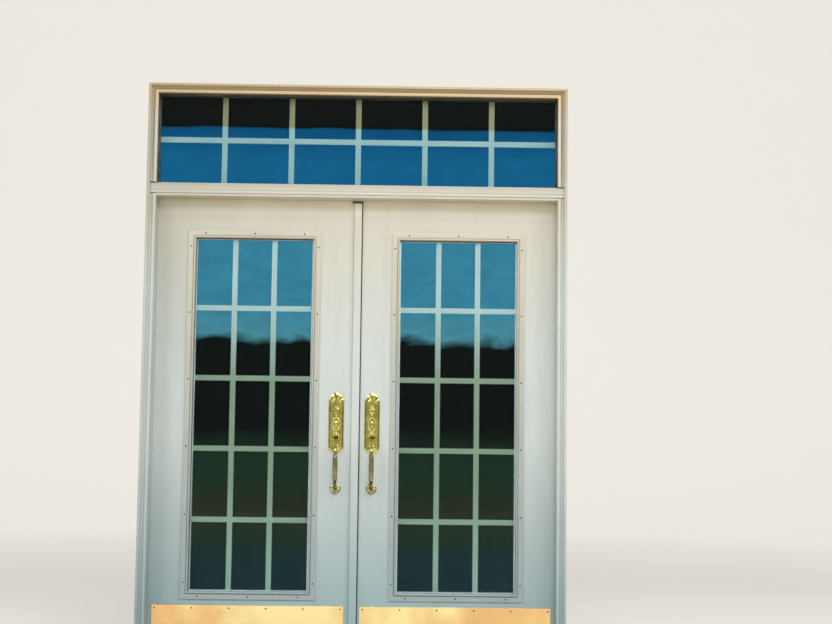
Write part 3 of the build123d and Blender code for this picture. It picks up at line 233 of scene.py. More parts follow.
class FrontDoorStage(PropertyGroup):
    """Camera, lamps, floor and backdrop"""
    camera: FloatVectorProperty(
        name="Camera", description="Where the camera stands", subtype="TRANSLATION",
        unit="LENGTH", size=3, default=(0.188, -6.91, 0.9205),
    )
    lens: number("Lens", "Focal length on a 36 mm sensor", 66.07)
    yaw: angle("Yaw", "Turn to the left", -0.72)
    pitch: angle("Pitch", "Tilt upwards", 5.21)
    roll: angle("Roll", "Lean of the camera", 0.71)
    key: number("Key lamp", "Power of the large soft lamp in front", 222.0, subtype="POWER")
    fill: number("Fill lamp", "Power of the lamps at the sides and behind", 93.0, subtype="POWER")
    ambient: number("Ambient light", "Strength of the plain surroundings", 0.39)


# Nodes and materials

def add_node(material, kind, settings=None, out=0, stops=(), **sockets):
    """Add a node with its settings, a colour ramp's (place, colour) stops, and each socket's value
    or the output that feeds it, and give the output that is asked for."""
    made = material.node_tree.nodes.new("ShaderNode" + kind)
    for name, value in (settings or {}).items():
        setattr(made, name, value)
    for name, value in sockets.items():
        key = int(name[1:]) if name[1:].isdigit() else name.replace("_", " ")
        if isinstance(value, bpy.types.NodeSocket):
            material.node_tree.links.new(value, made.inputs[key])
        else:
            made.inputs[key].default_value = value
    if stops:
        elements = made.color_ramp.elements
        while len(elements) < len(stops):
            elements.new(0.5)
        for element, (place, value) in zip(elements, stops):
            element.position = place
            element.color = tuple(value)
    return made.outputs[out]


def new_material(name, roughness, metallic=0.0, ior=1.5, **sockets):
    """A material with one principled shader, its constants set on the shader's own sockets."""
    material = bpy.data.materials.new(name)
    material.use_nodes = True
    inputs = material.node_tree.nodes[SHADER].inputs
    for socket, value in dict(Roughness=roughness, Metallic=metallic, IOR=ior, **sockets).items():
        inputs[socket.replace("_", " ")].default_value = value
    return material


def feed(material, shader, **outputs):
    """Link node outputs to the shader's sockets."""
    tree = material.node_tree
    for socket, output in outputs.items():
        tree.links.new(output, tree.nodes[shader].inputs[socket.replace("_", " ")])


def coat(material, tone, worn=None, rough=(0.0, 1.0), relief=None, depth=0.0):
    """Feed the shader its colour, a roughness that goes through rough as worn goes from 0 to 1, and
    bumps as high as depth where relief is 1."""
    feed(material, SHADER, Base_Color=tone)
    if worn is not None:
        low, high = rough
        feed(
            material, SHADER,
            Roughness=add_node(material, "MapRange", Value=worn, To_Min=low, To_Max=high),
        )
    if relief is not None:
        feed(
            material, SHADER,
            Normal=add_node(material, "Bump", Height=relief, Distance=depth, Strength=1.0),
        )
    return material


def noise_at(material, scale, stretch=(1, 1, 1), detail=4.0, roughness=0.5):
    """Noise on object coordinates; scale is in features per metre, stretch draws it out."""
    place = add_node(
        material, "Mapping", Vector=add_node(material, "TexCoord", out="Object"),
        Scale=tuple(1 / s for s in stretch),
    )
    return add_node(
        material, "TexNoise", out="Fac", Vector=place, Scale=scale, Detail=detail,
        Roughness=roughness,
    )


def coordinate(material, axis):
    """A point's object coordinate along an axis."""
    place = add_node(material, "TexCoord", out="Object")
    return add_node(material, "SeparateXYZ", out=axis, Vector=place)


def graded(material, axis, low, high, start=0.0, end=1.0):
    """Start up to low, end from high on and even in between, along an axis."""
    return add_node(
        material, "MapRange", Value=coordinate(material, axis), From_Min=low, From_Max=high,
        To_Min=start, To_Max=end,
    )


def by_height(material, low, high, stops):
    """Colours by height, as stops along the way from low to high."""
    return add_node(material, "ValToRGB", stops=stops, Fac=graded(material, "Z", low, high))


def hollows(material, strength):
    """How deep a point of a new piece lies in a groove, from the piece's own attribute."""
    depth = add_node(material, "Attribute", {"attribute_name": "hollow"}, "Fac")
    return add_node(material, "MapRange", Value=depth, To_Max=strength)


def covered(material, tone, other, *shares):
    """The tone, turned to the other by the product of the shares."""
    share = shares[0]
    for more in shares[1:]:
        share = add_node(material, "Math", {"operation": "MULTIPLY"}, _0=share, _1=more)
    return add_node(material, "Mix", {"data_type": "RGBA"}, 2, _0=share, _6=tone, _7=other)


def tinged(material, tone, other, driver, low, high, most, blend="MIX"):
    """The tone, turned to the other as a driver goes from low to high, by no more than most."""
    share = add_node(
        material, "ValToRGB", stops=[(low, (0, 0, 0, 1)), (high, (most, most, most, 1))], Fac=driver
    )
    return add_node(
        material, "Mix", {"data_type": "RGBA", "blend_type": blend}, 2, _0=share, _6=tone, _7=other
    )


def shaded(material, tone):
    """The tone, duller towards the left jamb: painted shade, as cast by the wall beside the door.
    """
    damp = bpy.context.scene.front_door_colours.damp
    lit_x, shadowed_x, most = -0.45, -0.8, 0.14
    return covered(material, tone, damp, graded(material, "X", lit_x, shadowed_x, 0.0, most))


def brushed_paint(name, stretch, rabbet_shade=0.0):
    """Alkyd gloss paint brushed on pine: long brush marks and a dusty film, with painted light:
    warm shade at the casing head, darker towards the foot and the left, shade in the hollows,
    and as much shade as asked for on the faces round the transom's glass."""
    c = bpy.context.scene.front_door_colours
    material = new_material(name, 0.38, Coat_Weight=0.15, Coat_Roughness=0.3)
    door_height, unshaded_top_z, warm_shade_z = 2.6, 2.42, 2.55
    # Painted light by height: warm at the head, darker and cooler at the foot.
    tone = by_height(material, 0.0, door_height, [
        (0.08, c.paint_foot_shade), (0.36, c.paint_middle), (0.62, c.paint_middle), (0.78, c.paint_head_warm_light),
    ])
    # Painted warm shade on the front faces of the casing head, strongest at the top.
    tone = covered(
        material, tone, c.paint_top_warm_shade, graded(material, "Z", unshaded_top_z, warm_shade_z),
        graded(material, "Y", 6 * MM, 1 * MM),
    )
    tone = shaded(material, tone)
    # Brush bristle marks are about 1 mm apart; drawn 4 mm apart so that they show.
    strokes = noise_at(material, 250.0, stretch, 3.0, 0.6)
    film = noise_at(material, 3.0, detail=5.0, roughness=0.6)
    tone = tinged(material, tone, c.groove, film, 0.35, 0.8, 0.12)
    # Painted shade in the hollows, in the groove colour, growing towards the head.
    lit_groove_z, shaded_groove_z = 1.9, 2.3
    kept = graded(material, "Z", lit_groove_z, shaded_groove_z, 0.2, 0.85)
    tone = covered(material, tone, c.groove, hollows(material, 1.0), kept)
    # Painted shade over the faces round the transom's glass, mottled by the film.
    if rabbet_shade:
        rabbet_darkness = add_node(material, "MapRange", Value=film, From_Max=0.4, To_Max=rabbet_shade)
        aside = add_node(material, "Math", {"operation": "ABSOLUTE"}, _0=coordinate(material, "X"))
        inner = [
            add_node(material, "Math", {"operation": "LESS_THAN"}, _0=position, _1=limit)
            for position, limit in (
                (aside, LEG_HIGH.x - 20 * MM), (coordinate(material, "Y"), TRANSOM_HIGH.y),
                (coordinate(material, "Z"), TRANSOM_HIGH.z + 8 * MM),
            )
        ]
        tone = covered(material, tone, c.rabbet_shade_tone, rabbet_darkness, *inner)
    return coat(material, tone, film, (0.3, 0.5), strokes, 0.25 * MM)


def rolled_paint(name):
    """Acrylic satin paint rolled on a pressed steel skin: fine orange peel, soft dust film."""
    c = bpy.context.scene.front_door_colours
    material = new_material(name, 0.42, Coat_Weight=0.08, Coat_Roughness=0.35)
    # Painted light by height: warm at the head, darker and cooler at the foot.
    tone = by_height(material, LEAF_LOW.z, LEAF_HIGH.z, [
        (0.09, c.paint_foot_shade), (0.45, c.paint_middle), (0.62, c.paint_middle), (0.93, c.paint_head_warm_light),
    ])
    # Painted light brightens and warms the weather side's head, filling the mull cover's shadow.
    light_start_z, light_full_z, light_top_z = (LEAF_HIGH.z - drop * MM for drop in (90, 30, 5))
    middle = (LEAF_LOW.y + LEAF_HIGH.y) / 2
    brightened = by_height(material, light_full_z, light_top_z, [(0.0, c.paint_lit_under_cover), (1.0, c.paint_lit_at_top)])
    tone = covered(
        material, tone, brightened, graded(material, "Z", light_start_z, light_full_z),
        graded(material, "Y", middle + 5 * MM, middle),
    )
    tone = shaded(material, tone)
    # Roller stipple has bumps about 1.5 mm apart; drawn 3 mm apart.
    peel = noise_at(material, 330.0, detail=2.0)
    film = noise_at(material, 2.2, (1, 1, 2.5), 5.0, 0.6)
    runs = noise_at(material, 26.0, (1, 1, 14), 4.0, 0.6)
    tone = tinged(material, tone, c.groove, film, 0.4, 0.8, 0.14)
    tone = tinged(material, tone, c.groove, runs, 0.5, 0.85, 0.1)
    return coat(material, tone, film, (0.36, 0.48), peel, 0.12 * MM)


def moulded_plastic():
    """Injection-moulded polystyrene, painted to match and slightly glossier than the leaf, with
    painted light: darker and cooler towards the foot, and painted shade in its hollows.
    """
    c = bpy.context.scene.front_door_colours
    material = new_material("moulded_painted_polystyrene", 0.33, ior=1.59)
    foot_z, head_z = 0.2, 2.0
    # Painted light by height: darker and cooler at the foot.
    tone = by_height(material, foot_z, head_z, [(0.1, c.plastic_foot), (0.85, c.plastic_head)])
    # The mould's grain is finer than 0.5 mm; drawn 2 mm apart.
    grain = noise_at(material, 500.0, detail=2.0)
    film = noise_at(material, 5.0)
    tone = tinged(material, tone, c.groove, film, 0.45, 0.8, 0.12)
    tone = covered(material, tone, c.groove, hollows(material, 0.4))
    return coat(material, tone, film, (0.28, 0.42), grain, 0.05 * MM)


def glass_with_painted_reflection(name, pane, stops, wander):
    """Float glass: a clear outer pane, and an inner pane that carries a painted reflection in bands
    by height.

    The index of refraction is that of a pane whose coatings cut its reflection, so that the dark
    parts of the painted reflection stay dark.  Its bands stray up and down by as much as wander.
    """
    c = bpy.context.scene.front_door_colours
    low, high = pane
    material = new_material(name, 0.0, ior=1.12, Transmission_Weight=1.0)
    shifted = add_node(
        material, "Math", {"operation": "MULTIPLY_ADD"}, _1=2 * wander,
        _0=noise_at(material, 11.0, (1.8, 1, 1), 8.0, 0.62), _2=coordinate(material, "Z"),
    )
    height = add_node(
        material, "MapRange", Value=shifted, From_Min=low.z + wander, From_Max=high.z + wander
    )
    painted_reflection = add_node(material, "ValToRGB", stops=stops, Fac=height)
    cloud = noise_at(material, 17.0, (2.2, 1, 1), 6.0, 0.7)
    mottled = tinged(material, painted_reflection, c.glass_cloud, cloud, 0.4, 0.7, 0.25, "MULTIPLY")
    inner = add_node(
        material, "Math", {"operation": "GREATER_THAN"}, _0=coordinate(material, "Y"),
        _1=(low.y + high.y) / 2,
    )
    return coat(material, covered(material, c.glass_clear, mottled, inner))


def polished_brass(name, tone, sheet=False):
    """Cast or rolled yellow brass, polished and lacquered: warm mirror, darker in its hollows with
    patina and painted shade.

    Buffing lines are finer than 0.1 mm; drawn 1 mm apart.  Rolled sheet is a little wavy instead.
    """
    c = bpy.context.scene.front_door_colours
    tarnish = bpy.context.scene.front_door_hardware.tarnish
    edge, patch, spots, most, waves, depth = (
        ((1, 1, 1, 1), c.sheet_warm, 3.0, 0.7, 6.0, 3 * MM) if sheet
        else (c.brass_edge, c.brass_shade, 40.0, 0.4, 1000.0, 0.01 * MM)
    )
    material = new_material(
        name, 0.15, metallic=1.0, Coat_Weight=0.3, Coat_Roughness=0.08, Specular_Tint=edge
    )
    wear = noise_at(material, spots, roughness=0.55)
    tone = tinged(material, tone, patch, wear, 0.42, 0.64, most)
    tone = covered(material, tone, c.brass_shade, hollows(material, tarnish))
    return coat(material, tone, wear, (0.08, 0.28), noise_at(material, waves, detail=2.0), depth)


def worn_metal(name, tone, roughness, stretch=(1, 1, 1)):
    """Plated or mill-finished metal: drawn grain along the part, duller patches, and painted
    shade in its hollows.
    """
    material = new_material(name, roughness, metallic=1.0)
    # Die lines are finer than 0.1 mm; drawn 1.1 mm apart.
    grain = noise_at(material, 900.0, stretch, 2.0)
    patches = noise_at(material, 14.0)
    dark = [v * 0.5 for v in tone[:3]] + [1]
    tone = tinged(material, tone, dark, patches, 0.35, 0.8, 0.4)
    # Painted shade in the hollows: screw recesses and rims, and the spacers' crease.
    tone = covered(material, tone, dark, hollows(material, 0.8))
    rough = (roughness - 0.1, roughness + 0.15)
    return coat(material, tone, patches, rough, grain, 0.03 * MM)


def soft_plastic(name, tone, roughness, scale):
    """Extruded vinyl, foam or moulded plastic: matt, with a fine grain and dusty patches."""
    material = new_material(name, roughness)
    dust = bpy.context.scene.front_door_colours.dust
    tone = tinged(material, tone, dust, noise_at(material, 20.0), 0.4, 0.9, 0.3)
    # Cells and grain are finer than 0.5 mm; drawn 1.4 to 2.5 mm apart.
    grain = noise_at(material, scale, detail=3.0)
    return coat(material, tone, relief=grain, depth=0.1 * MM)


def coil_paint(name, pane, stops):
    """Aluminium strip, coil-painted: smooth satin enamel with a faint streak along the strip, and
    painted reflection and shade in bands by height.
    """
    low, high = pane
    streak_tone = bpy.context.scene.front_door_colours.bar_streak
    material = new_material(name, 0.4)
    streak = noise_at(material, 60.0, (1, 1, 8), 3.0)
    tone = by_height(material, low.z, high.z, stops)
    return coat(material, tinged(material, tone, streak_tone, streak, 0.3, 0.9, 0.14))


def studio_paper():
    """Seamless studio paper: plain and matt, and lit of itself where it is seen, so that it stays
    pale behind the door, through its glass and in its brass."""
    c = bpy.context.scene.front_door_colours
    material = new_material(
        "seamless_studio_paper", 0.9, Specular_IOR_Level=0.1, Emission_Color=c.paper
    )
    mottle = noise_at(material, 2.0, detail=3.0)
    seen = add_node(material, "LightPath", out="Is Camera Ray")
    for ray in ("Is Transmission Ray", "Is Glossy Ray"):
        other = add_node(material, "LightPath", out=ray)
        seen = add_node(material, "Math", {"operation": "MAXIMUM"}, _0=seen, _1=other)
    place = add_node(material, "TexCoord", out="Object")
    away = add_node(material, "VectorMath", {"operation": "LENGTH"}, "Value", _0=place)
    # The lamps light the paper less the farther it is from the door, so it glows more there.
    glow = add_node(
        material, "MapRange", Value=away, From_Min=2.0, From_Max=11.0, To_Min=0.25, To_Max=0.62
    )
    lit = add_node(material, "Math", {"operation": "MULTIPLY"}, _0=seen, _1=glow)
    feed(material, SHADER, Emission_Strength=lit)
    return coat(material, tinged(material, c.paper, c.paper_shade, mottle, 0.3, 0.9, 0.05))


def finish_with(material, *nodes):
    """Give CAD pieces a material."""
    for node in nodes:
        piece = frame["nodes"][node]
        piece.data.materials.clear()
        piece.data.materials.append(material)


# Surfaces

def eased(corners, steps=5):
    """Outline in metres from (a, b, ease, hollow, petal) corners in millimetres.

    Each corner P becomes the parabola (1-s)^2 A + 2s(1-s) P + s^2 B, where A and B lie on its two
    sides, ease away from P.  Hollow and petal may be left out, and run along in the same way.  A
    corner with no ease stays one point, as do both ends of an open outline.
    """
    corners = np.array([(*corner, 0, 0)[:5] for corner in corners], float)
    place, ease = np.delete(corners, 2, axis=1), corners[:, 2:3]
    before, after = np.roll(place, 1, axis=0) - place, np.roll(place, -1, axis=0) - place
    start = place + before * ease / np.linalg.norm(before[:, :2], axis=1)[:, None]
    end = place + after * ease / np.linalg.norm(after[:, :2], axis=1)[:, None]
    s = np.linspace(0, 1, steps)[None, :, None]
    curve = (1 - s) ** 2 * start[:, None] + 2 * s * (1 - s) * place[:, None] + s**2 * end[:, None]
    curve[..., :2] *= MM
    again = np.repeat(ease[:, 0] == 0, steps) & (np.tile(np.arange(steps), len(ease)) > 0)
    return curve.reshape(-1, 4)[~again]


def around(steps):
    """Angles once round, in a row."""
    return np.linspace(0, 2 * np.pi, steps, endpoint=False)[None, :]


def surface(hollow, origin, *terms, wrap_rows=False, wrap_columns=True, capped=True):
    """Patch: a grid of origin plus each amount times its direction, with the hollow carried along,
    whether its rows and its columns wrap round, and whether its first and last row are capped."""
    points = sum(amount[..., None] * np.array(way, float) for amount, way in terms)
    points = points + np.array(origin, float)
    depth = np.broadcast_to(hollow, points.shape[:2])[..., None]
    return np.concatenate([points, depth], axis=-1), wrap_rows, wrap_columns, capped


def moulding(outline, ends, origin, ways):
    """Straight moulding: point (k, i) is origin + across a_i + out b_i + along (d_k + lean_k a_i).

    Ends are (distance along, lean) pairs; a lean of 1 or -1 is a mitre.
    """
    across, out, along = ways
    a, b, hollow = (outline[:, i][None, :] for i in range(3))
    d, lean = (np.array(ends, float)[:, i][:, None] for i in range(2))
    return surface(hollow, origin, (a + 0 * d, across), (b + 0 * d, out), (d + lean * a, along))


def round_frame(outline, box, base, out, radius, filled=False):
    """Frame: outline (inset a, rise b) carried round a box whose corners have radius r - a.

    Corner c at angle t is its centre + (r - a) (cos t, sin t), where r - a is never under 0.1 mm,
    and the rise goes along Y from base.  A filled one is a sheet, closed across its middle.
    """
    low, high = box
    a, b, hollow = (outline[:, i][:, None] for i in range(3))
    steps = 5
    turn = np.radians(np.linspace(0, 90, steps)[None, :] + [[0], [90], [180], [270]]).reshape(1, -1)
    side_x = np.repeat([1, -1, -1, 1], steps)[None, :]
    side_z = np.repeat([1, 1, -1, -1], steps)[None, :]
    r = np.maximum(radius - a, 0.1 * MM)
    return surface(
        hollow, ((low.x + high.x) / 2, base, (low.z + high.z) / 2),
        (side_x * ((high.x - low.x) / 2 - a - r) + r * np.cos(turn), RIGHT),
        (out * b + 0 * turn, (0, 1, 0)),
        (side_z * ((high.z - low.z) / 2 - a - r) + r * np.sin(turn), UP),
        wrap_rows=not filled, capped=filled,
    )


def turned(outline, origin, steps, petals=0, axis=OUT, lean=(1, 0), oval=1.0):
    """Turned form: point (i, j) is origin + axis h_i + r_i (X cos t_j + oval W sin t_j).

    W is square to X and to the axis.  Where the outline has a petal, a wave of that many petals
    round the axis is taken off h and r in the shares that lean gives, and the dips between the
    petals count as hollows.  An outline that starts off the axis is a ring's, and closes on itself.
    """
    h, r, hollow, petal = (outline[:, i][:, None] for i in range(4))
    t = around(steps)
    dip = 0.5 - 0.5 * np.cos(petals * t)
    h = h - lean[0] * petal * MM * dip
    r = r - lean[1] * petal * MM * dip
    return surface(
        np.maximum(hollow, (petal > 0) * dip * 0.8), origin, (h + 0 * t, axis),
        (r * np.cos(t), RIGHT), (oval * r * np.sin(t), np.cross(axis, RIGHT)),
        wrap_rows=bool(outline[0, 1] > 0), capped=False,
    )


def bent_rod(path, radius, x):
    """Rod on a path across the door: point (k, j) is path_k + r (X cos t_j + N_k sin t_j).

    N_k is square to X and to the path, which is given as (y, z).
    """
    run = np.gradient(path[:, :2], axis=0)
    run = run / np.linalg.norm(run, axis=1)[:, None]
    t = around(20)
    y, z, y_run, z_run = path[:, :1], path[:, 1:2], run[:, :1], run[:, 1:]
    return surface(
        path[:, 2:3], (x, 0, 0), (radius * np.cos(t) + 0 * y, RIGHT),
        (y - z_run * radius * np.sin(t), (0, 1, 0)), (z + y_run * radius * np.sin(t), UP),
    )


def grid_faces(rows, columns, wrap_rows, wrap_columns, first):
    """Quads between neighbours (i, j), (i, j+1), (i+1, j+1), (i+1, j), round where an end wraps."""
    i = np.arange(rows if wrap_rows else rows - 1)[:, None]
    j = np.arange(columns if wrap_columns else columns - 1)[None, :]
    near, far = i % rows * columns, (i + 1) % rows * columns
    right = (j + 1) % columns
    quads = np.stack([near + j, near + right, far + right, far + j], axis=-1)
    return (quads.reshape(-1, 4) + first).tolist()


def add_piece(name, mesh, material):
    """An object of a mesh, smooth between its creases."""
    mesh.shade_smooth()
    mesh.set_sharp_from_angle(angle=CREASE)
    mesh.materials.append(material)
    piece = bpy.data.objects.new(name, mesh)
    bpy.context.scene.collection.objects.link(piece)
    return piece


def make_piece(name, patches, material, body, nodes=()):
    """One mesh of closed shells from patches, on a body."""
    points, faces, first = [], [], 0
    for grid, wrap_rows, wrap_columns, capped in patches:
        rows, columns = grid.shape[:2]
        faces += grid_faces(rows, columns, wrap_rows, wrap_columns, first)
        if capped:
            faces.append(list(range(first, first + columns)))
            faces.append(list(range(first + (rows - 1) * columns, first + rows * columns)))
        points.append(grid.reshape(-1, 4))
        first += rows * columns
    points = np.concatenate(points)
    mesh = bpy.data.meshes.new(name)
    mesh.from_pydata(points[:, :3].tolist(), [], faces)
    depth = mesh.attributes.new("hollow", "FLOAT", "POINT")
    depth.data.foreach_set("value", points[:, 3].astype(np.float32))
    shell = bmesh.new()
    shell.from_mesh(mesh)
    bmesh.ops.remove_doubles(shell, verts=shell.verts, dist=2e-6)
    bmesh.ops.recalc_face_normals(shell, faces=shell.faces)
    shell.to_mesh(mesh)
    shell.free()
    piece = add_piece(name, mesh, material)
    if body:
        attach(piece, body)
        if nodes:
            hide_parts(*nodes)
    return piece


def ease_cad(node, width, body, material):
    """Stand-in for a CAD piece: its doubles merged, flat faces joined and edges rounded."""
    shell = bmesh.new()
    shell.from_mesh(frame["nodes"][node].data)
    bmesh.ops.remove_doubles(shell, verts=shell.verts, dist=1e-5)
    bmesh.ops.dissolve_limit(
        shell, angle_limit=radians(0.5), verts=shell.verts, edges=shell.edges
    )
    mesh = bpy.data.meshes.new(node + "_eased")
    shell.to_mesh(mesh)
    shell.free()
    piece = add_piece(node + "_eased", mesh, material)
    rounding = piece.modifiers.new("Eased edges", "BEVEL")
    rounding.width = width
    rounding.segments = 2
    rounding.limit_method = "ANGLE"
    rounding.angle_limit = radians(40)
    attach(piece, body)
    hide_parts(node)


# Outlines and forms of this door's pieces

def screw_head(radius, x, y, z):
    """Pan head with a cross recess: point (i, j) lies r_i from the middle at angle t_j.

    Its rise is 1.2 (1 - (r_i / radius)^3), less 0.9 where it is on an arm of the cross, and the
    last ring goes down into the face.
    """
    r = np.array([0, 0.16, 0.28, 0.42, 0.52, 0.6, 0.64, 0.8, 0.93, 1, 1])[:, None] * radius
    t = around(16)
    aside = np.minimum(np.abs(r * np.cos(t)), np.abs(r * np.sin(t)))
    cross = (aside < 0.16 * radius) & (r < 0.62 * radius)
    rise = (1.2 * (1 - (r / radius) ** 3) - 0.9 * cross) * MM
    rise[-1] = -0.3 * MM
    return surface(
        cross | (r >= radius), (x, y, z), (r * np.cos(t), RIGHT), (rise, OUT), (r * np.sin(t), UP)
    )


def screw_rows(radius, y, columns, rows):
    """Screw heads at every crossing of the given columns and rows."""
    return [screw_head(radius, x, y, z) for x in columns for z in rows]


def plate_edge(inset):
    """Edge of the handleset plate moved in by each inset, a row for each, in metres from the latch.

    Up the right half: the foot's lobe, an arc in the corner, the shoulder and the side, and the
    same at the head.  The corner's arc has its centre its own radius off the shoulder's line, and
    the two radii added up from the lobe's centre, so that it touches both.  The left half is the
    mirror image.
    """
    s, corner = np.linspace(0, 1, 13)[None, :], CORNER_RADIUS
    half, lobe = PLATE_HALF - inset, LOBE_RADIUS - inset
    ends = []
    for edge, centre, way in (
        (FOOT_SHOULDER + inset, FOOT_LOBE, -1), (HEAD_SHOULDER - inset, HEAD_LOBE, 1),
    ):
        off = edge + way * corner - centre
        touch = np.sqrt((lobe + corner) ** 2 - off**2)
        lean = np.arctan2(way * off, touch)
        round_lobe = np.pi / 2 + (lean - np.pi / 2) * s
        round_corner = lean + (np.pi / 2 - lean) * s[:, ::2]
        corner_x = touch - corner * np.cos(round_corner)[:, 1:]
        corner_z = edge + way * corner * (1 - np.sin(round_corner))[:, 1:]
        ends.append((
            np.hstack([lobe * np.cos(round_lobe), corner_x, half]),
            np.hstack([centre + way * lobe * np.sin(round_lobe), corner_z, edge]),
        ))
    (foot_x, foot_z), (head_x, head_z) = ends
    side = np.linspace(0, 1, 30)[None, 1:-1]
    side_z = foot_z[:, -1:] + (head_z[:, -1:] - foot_z[:, -1:]) * side
    x = np.hstack([foot_x, half + 0 * side_z, head_x[:, ::-1]])
    z = np.hstack([foot_z, side_z, head_z[:, ::-1]])
    return np.stack([np.hstack([x, -x[:, -2:0:-1]]), np.hstack([z, z[:, -2:0:-1]])], axis=-1) * MM


def lobe_band(px, pz):
    """Whether a point lies in a lobe, its gap to the lobe's round edge, and how high the sloping
    band is there, which is the plate's edge and 0.4 of the gap."""
    lobe = (pz > (HEAD_SHOULDER - 1) * MM) | (pz < (FOOT_SHOULDER + 1) * MM)
    centre = np.where(pz > PLATE_MIDDLE * MM, HEAD_LOBE, FOOT_LOBE) * MM
    gap = LOBE_RADIUS * MM - np.hypot(px, pz - centre)
    return lobe, gap, PLATE_EDGE * MM + 0.4 * gap


def plate_face(x, settings):
    """Cast plate: its rim is an outline of (inset, rise) on plate_edge, and its field runs in from
    the rim to the middle line.  A shell's ribs, of height shell (cos(2 ribs angle) + 1) / 2, fan
    out in both lobes.  The field is sunk under the cylinder and round the thumb piece."""
    field = 7.0 - settings.plate_sink / MM
    rim = settings.plate_rim / MM
    bead_end = rim + 2.1
    profile = eased([
        (0, 0, 0), (0, PLATE_EDGE, 0.8), (rim - 0.6, 6.6, 0.6), (rim, field, 0.2, 1),
        (rim + 0.9, field, 0.3, 1), (rim + 1.5, field + 0.8, 0.3), (bead_end, field, 0, 0.6),
    ])
    edge = plate_edge(profile[:, :1] / MM)
    inner = plate_edge(np.array([[bead_end]]))
    u = np.linspace(0, 1, 30)[1:, None, None]
    spine_z = np.clip(inner[..., 1], FOOT_LOBE * MM, HEAD_LOBE * MM)
    across = inner * (1 - u) + np.stack([0 * spine_z, spine_z], axis=-1) * u
    px, pz = across[..., 0], across[..., 1]
    up = np.where(pz > PLATE_MIDDLE * MM, pz - HEAD_SHELL * MM, FOOT_SHELL * MM - pz)
    fan = np.arctan2(px, np.maximum(up, 1e-6))
    inside = np.clip(up / (4 * MM), 0, 1) * np.clip(u[..., 0] * 9, 0, 1)
    wave = 0.5 + 0.5 * np.cos(2 * settings.ribs * fan)
    root = np.clip(np.hypot(px, up) / (10 * MM), 0, 1)
    level = field * MM + settings.shell * inside * wave * root
    bore, boss, floor = 12 * MM, 14.5 * MM, 0.8 * MM
    cylinder = np.hypot(px, pz - (CYLINDER_Z - LATCH_Z)) < bore
    thumb = np.hypot(px, pz - (THUMB_PIVOT[2] - LATCH_Z)) < boss
    level = np.where(cylinder | thumb, floor, level)
    lobe, gap, slope = lobe_band(px, pz)
    level = np.where(lobe & (gap < settings.bevel), slope, level)
    # Dark between the shell's ribs and round the thumb piece: patina and painted shade.
    dark = np.where(thumb, 1.0, inside * (1 - wave))
    lobe, gap, slope = lobe_band(edge[..., 0], edge[..., 1])
    rim_rise = profile[:, 1:2] + 0 * gap
    rim_rise = np.where(lobe & (profile[:, :1] > 2 * MM), slope, rim_rise)
    points = np.concatenate([edge, across])
    return surface(
        np.concatenate([profile[:, 2:3] + 0 * gap, dark]), (x, LEAF_LOW.y, LATCH_Z),
        (points[..., 0], RIGHT), (np.concatenate([rim_rise, level]), OUT), (points[..., 1], UP),
    )


def thumb_pad(x, tail):
    """Cupped thumb piece, which hangs 12 degrees down from its pivot.

    Ring k is o_k out from the pivot.  Its point j lies w_k cos v_j across and, above or below the
    ring's middle, by half its thickness times the 0.7th power of sin v_j, less the dish on top.
    """
    stations = np.array([
        (-tail, 9.5, 2, -2), (2, 9.5, 2, -2), (7, 7, 1.2, -2.6), (11, 7.2, 0.6, -3.2),
        (15, 8.4, 0.1, -3.7), (22, 9.8, -0.4, -4.2), (30, 10, 0, -3.6), (34, 8.7, 0.9, -2.2),
        (36.5, 6.2, 1.4, -0.8), (37.6, 3.6, 1.5, 0.2), (38, 0.4, 1.2, 0.8),
    ])
    fine = np.linspace(0, len(stations) - 1, 41)
    out, wide, top, sole = (
        np.interp(fine, np.arange(len(stations)), column)[:, None] * MM for column in stations.T
    )
    v = around(20)
    rise = (top + sole) / 2 + (top - sole) / 2 * np.sign(np.sin(v)) * np.abs(np.sin(v)) ** 0.7
    dish = np.clip(out / (12 * MM) - 0.6, 0, 1) * np.maximum(np.sin(v), 0) ** 2 * 1.3 * MM
    c, s = cos(radians(12)), sin(radians(12))
    return surface(
        0.0, (x, THUMB_PIVOT[1], THUMB_PIVOT[2]), (wide * np.cos(v), RIGHT),
        (-out + 0 * v, (0, c, s)), (rise - dish, (0, -s, c)),
    )


def cylinder_collar(x, blank):
    """Gadrooned collar round the key plug, or round a low dome on the blank cylinder."""
    middle = [(11.3, 0, 0), (11, 7.5, 1.5), (10.4, 9.4, 0.6, 0.8)] if blank else [
        (1, 6.7, 0), (11, 6.7, 0.3, 0.8), (11.4, 9.4, 0.5)]
    back = [(1, 0, 0)] if blank else []
    outline = eased([
        *middle, (12, 10.5, 0.4), (12, 12.5, 0.8), (7.6, 14.2, 0.8, 0.8), (7.2, 16.6, 0.8, 0, 0.9),
        (5.4, 18, 0.8, 0.3, 0.9), (1, 18, 0), *back,
    ])
    return turned(outline, (x, LEAF_LOW.y, CYLINDER_Z), 96, 24)


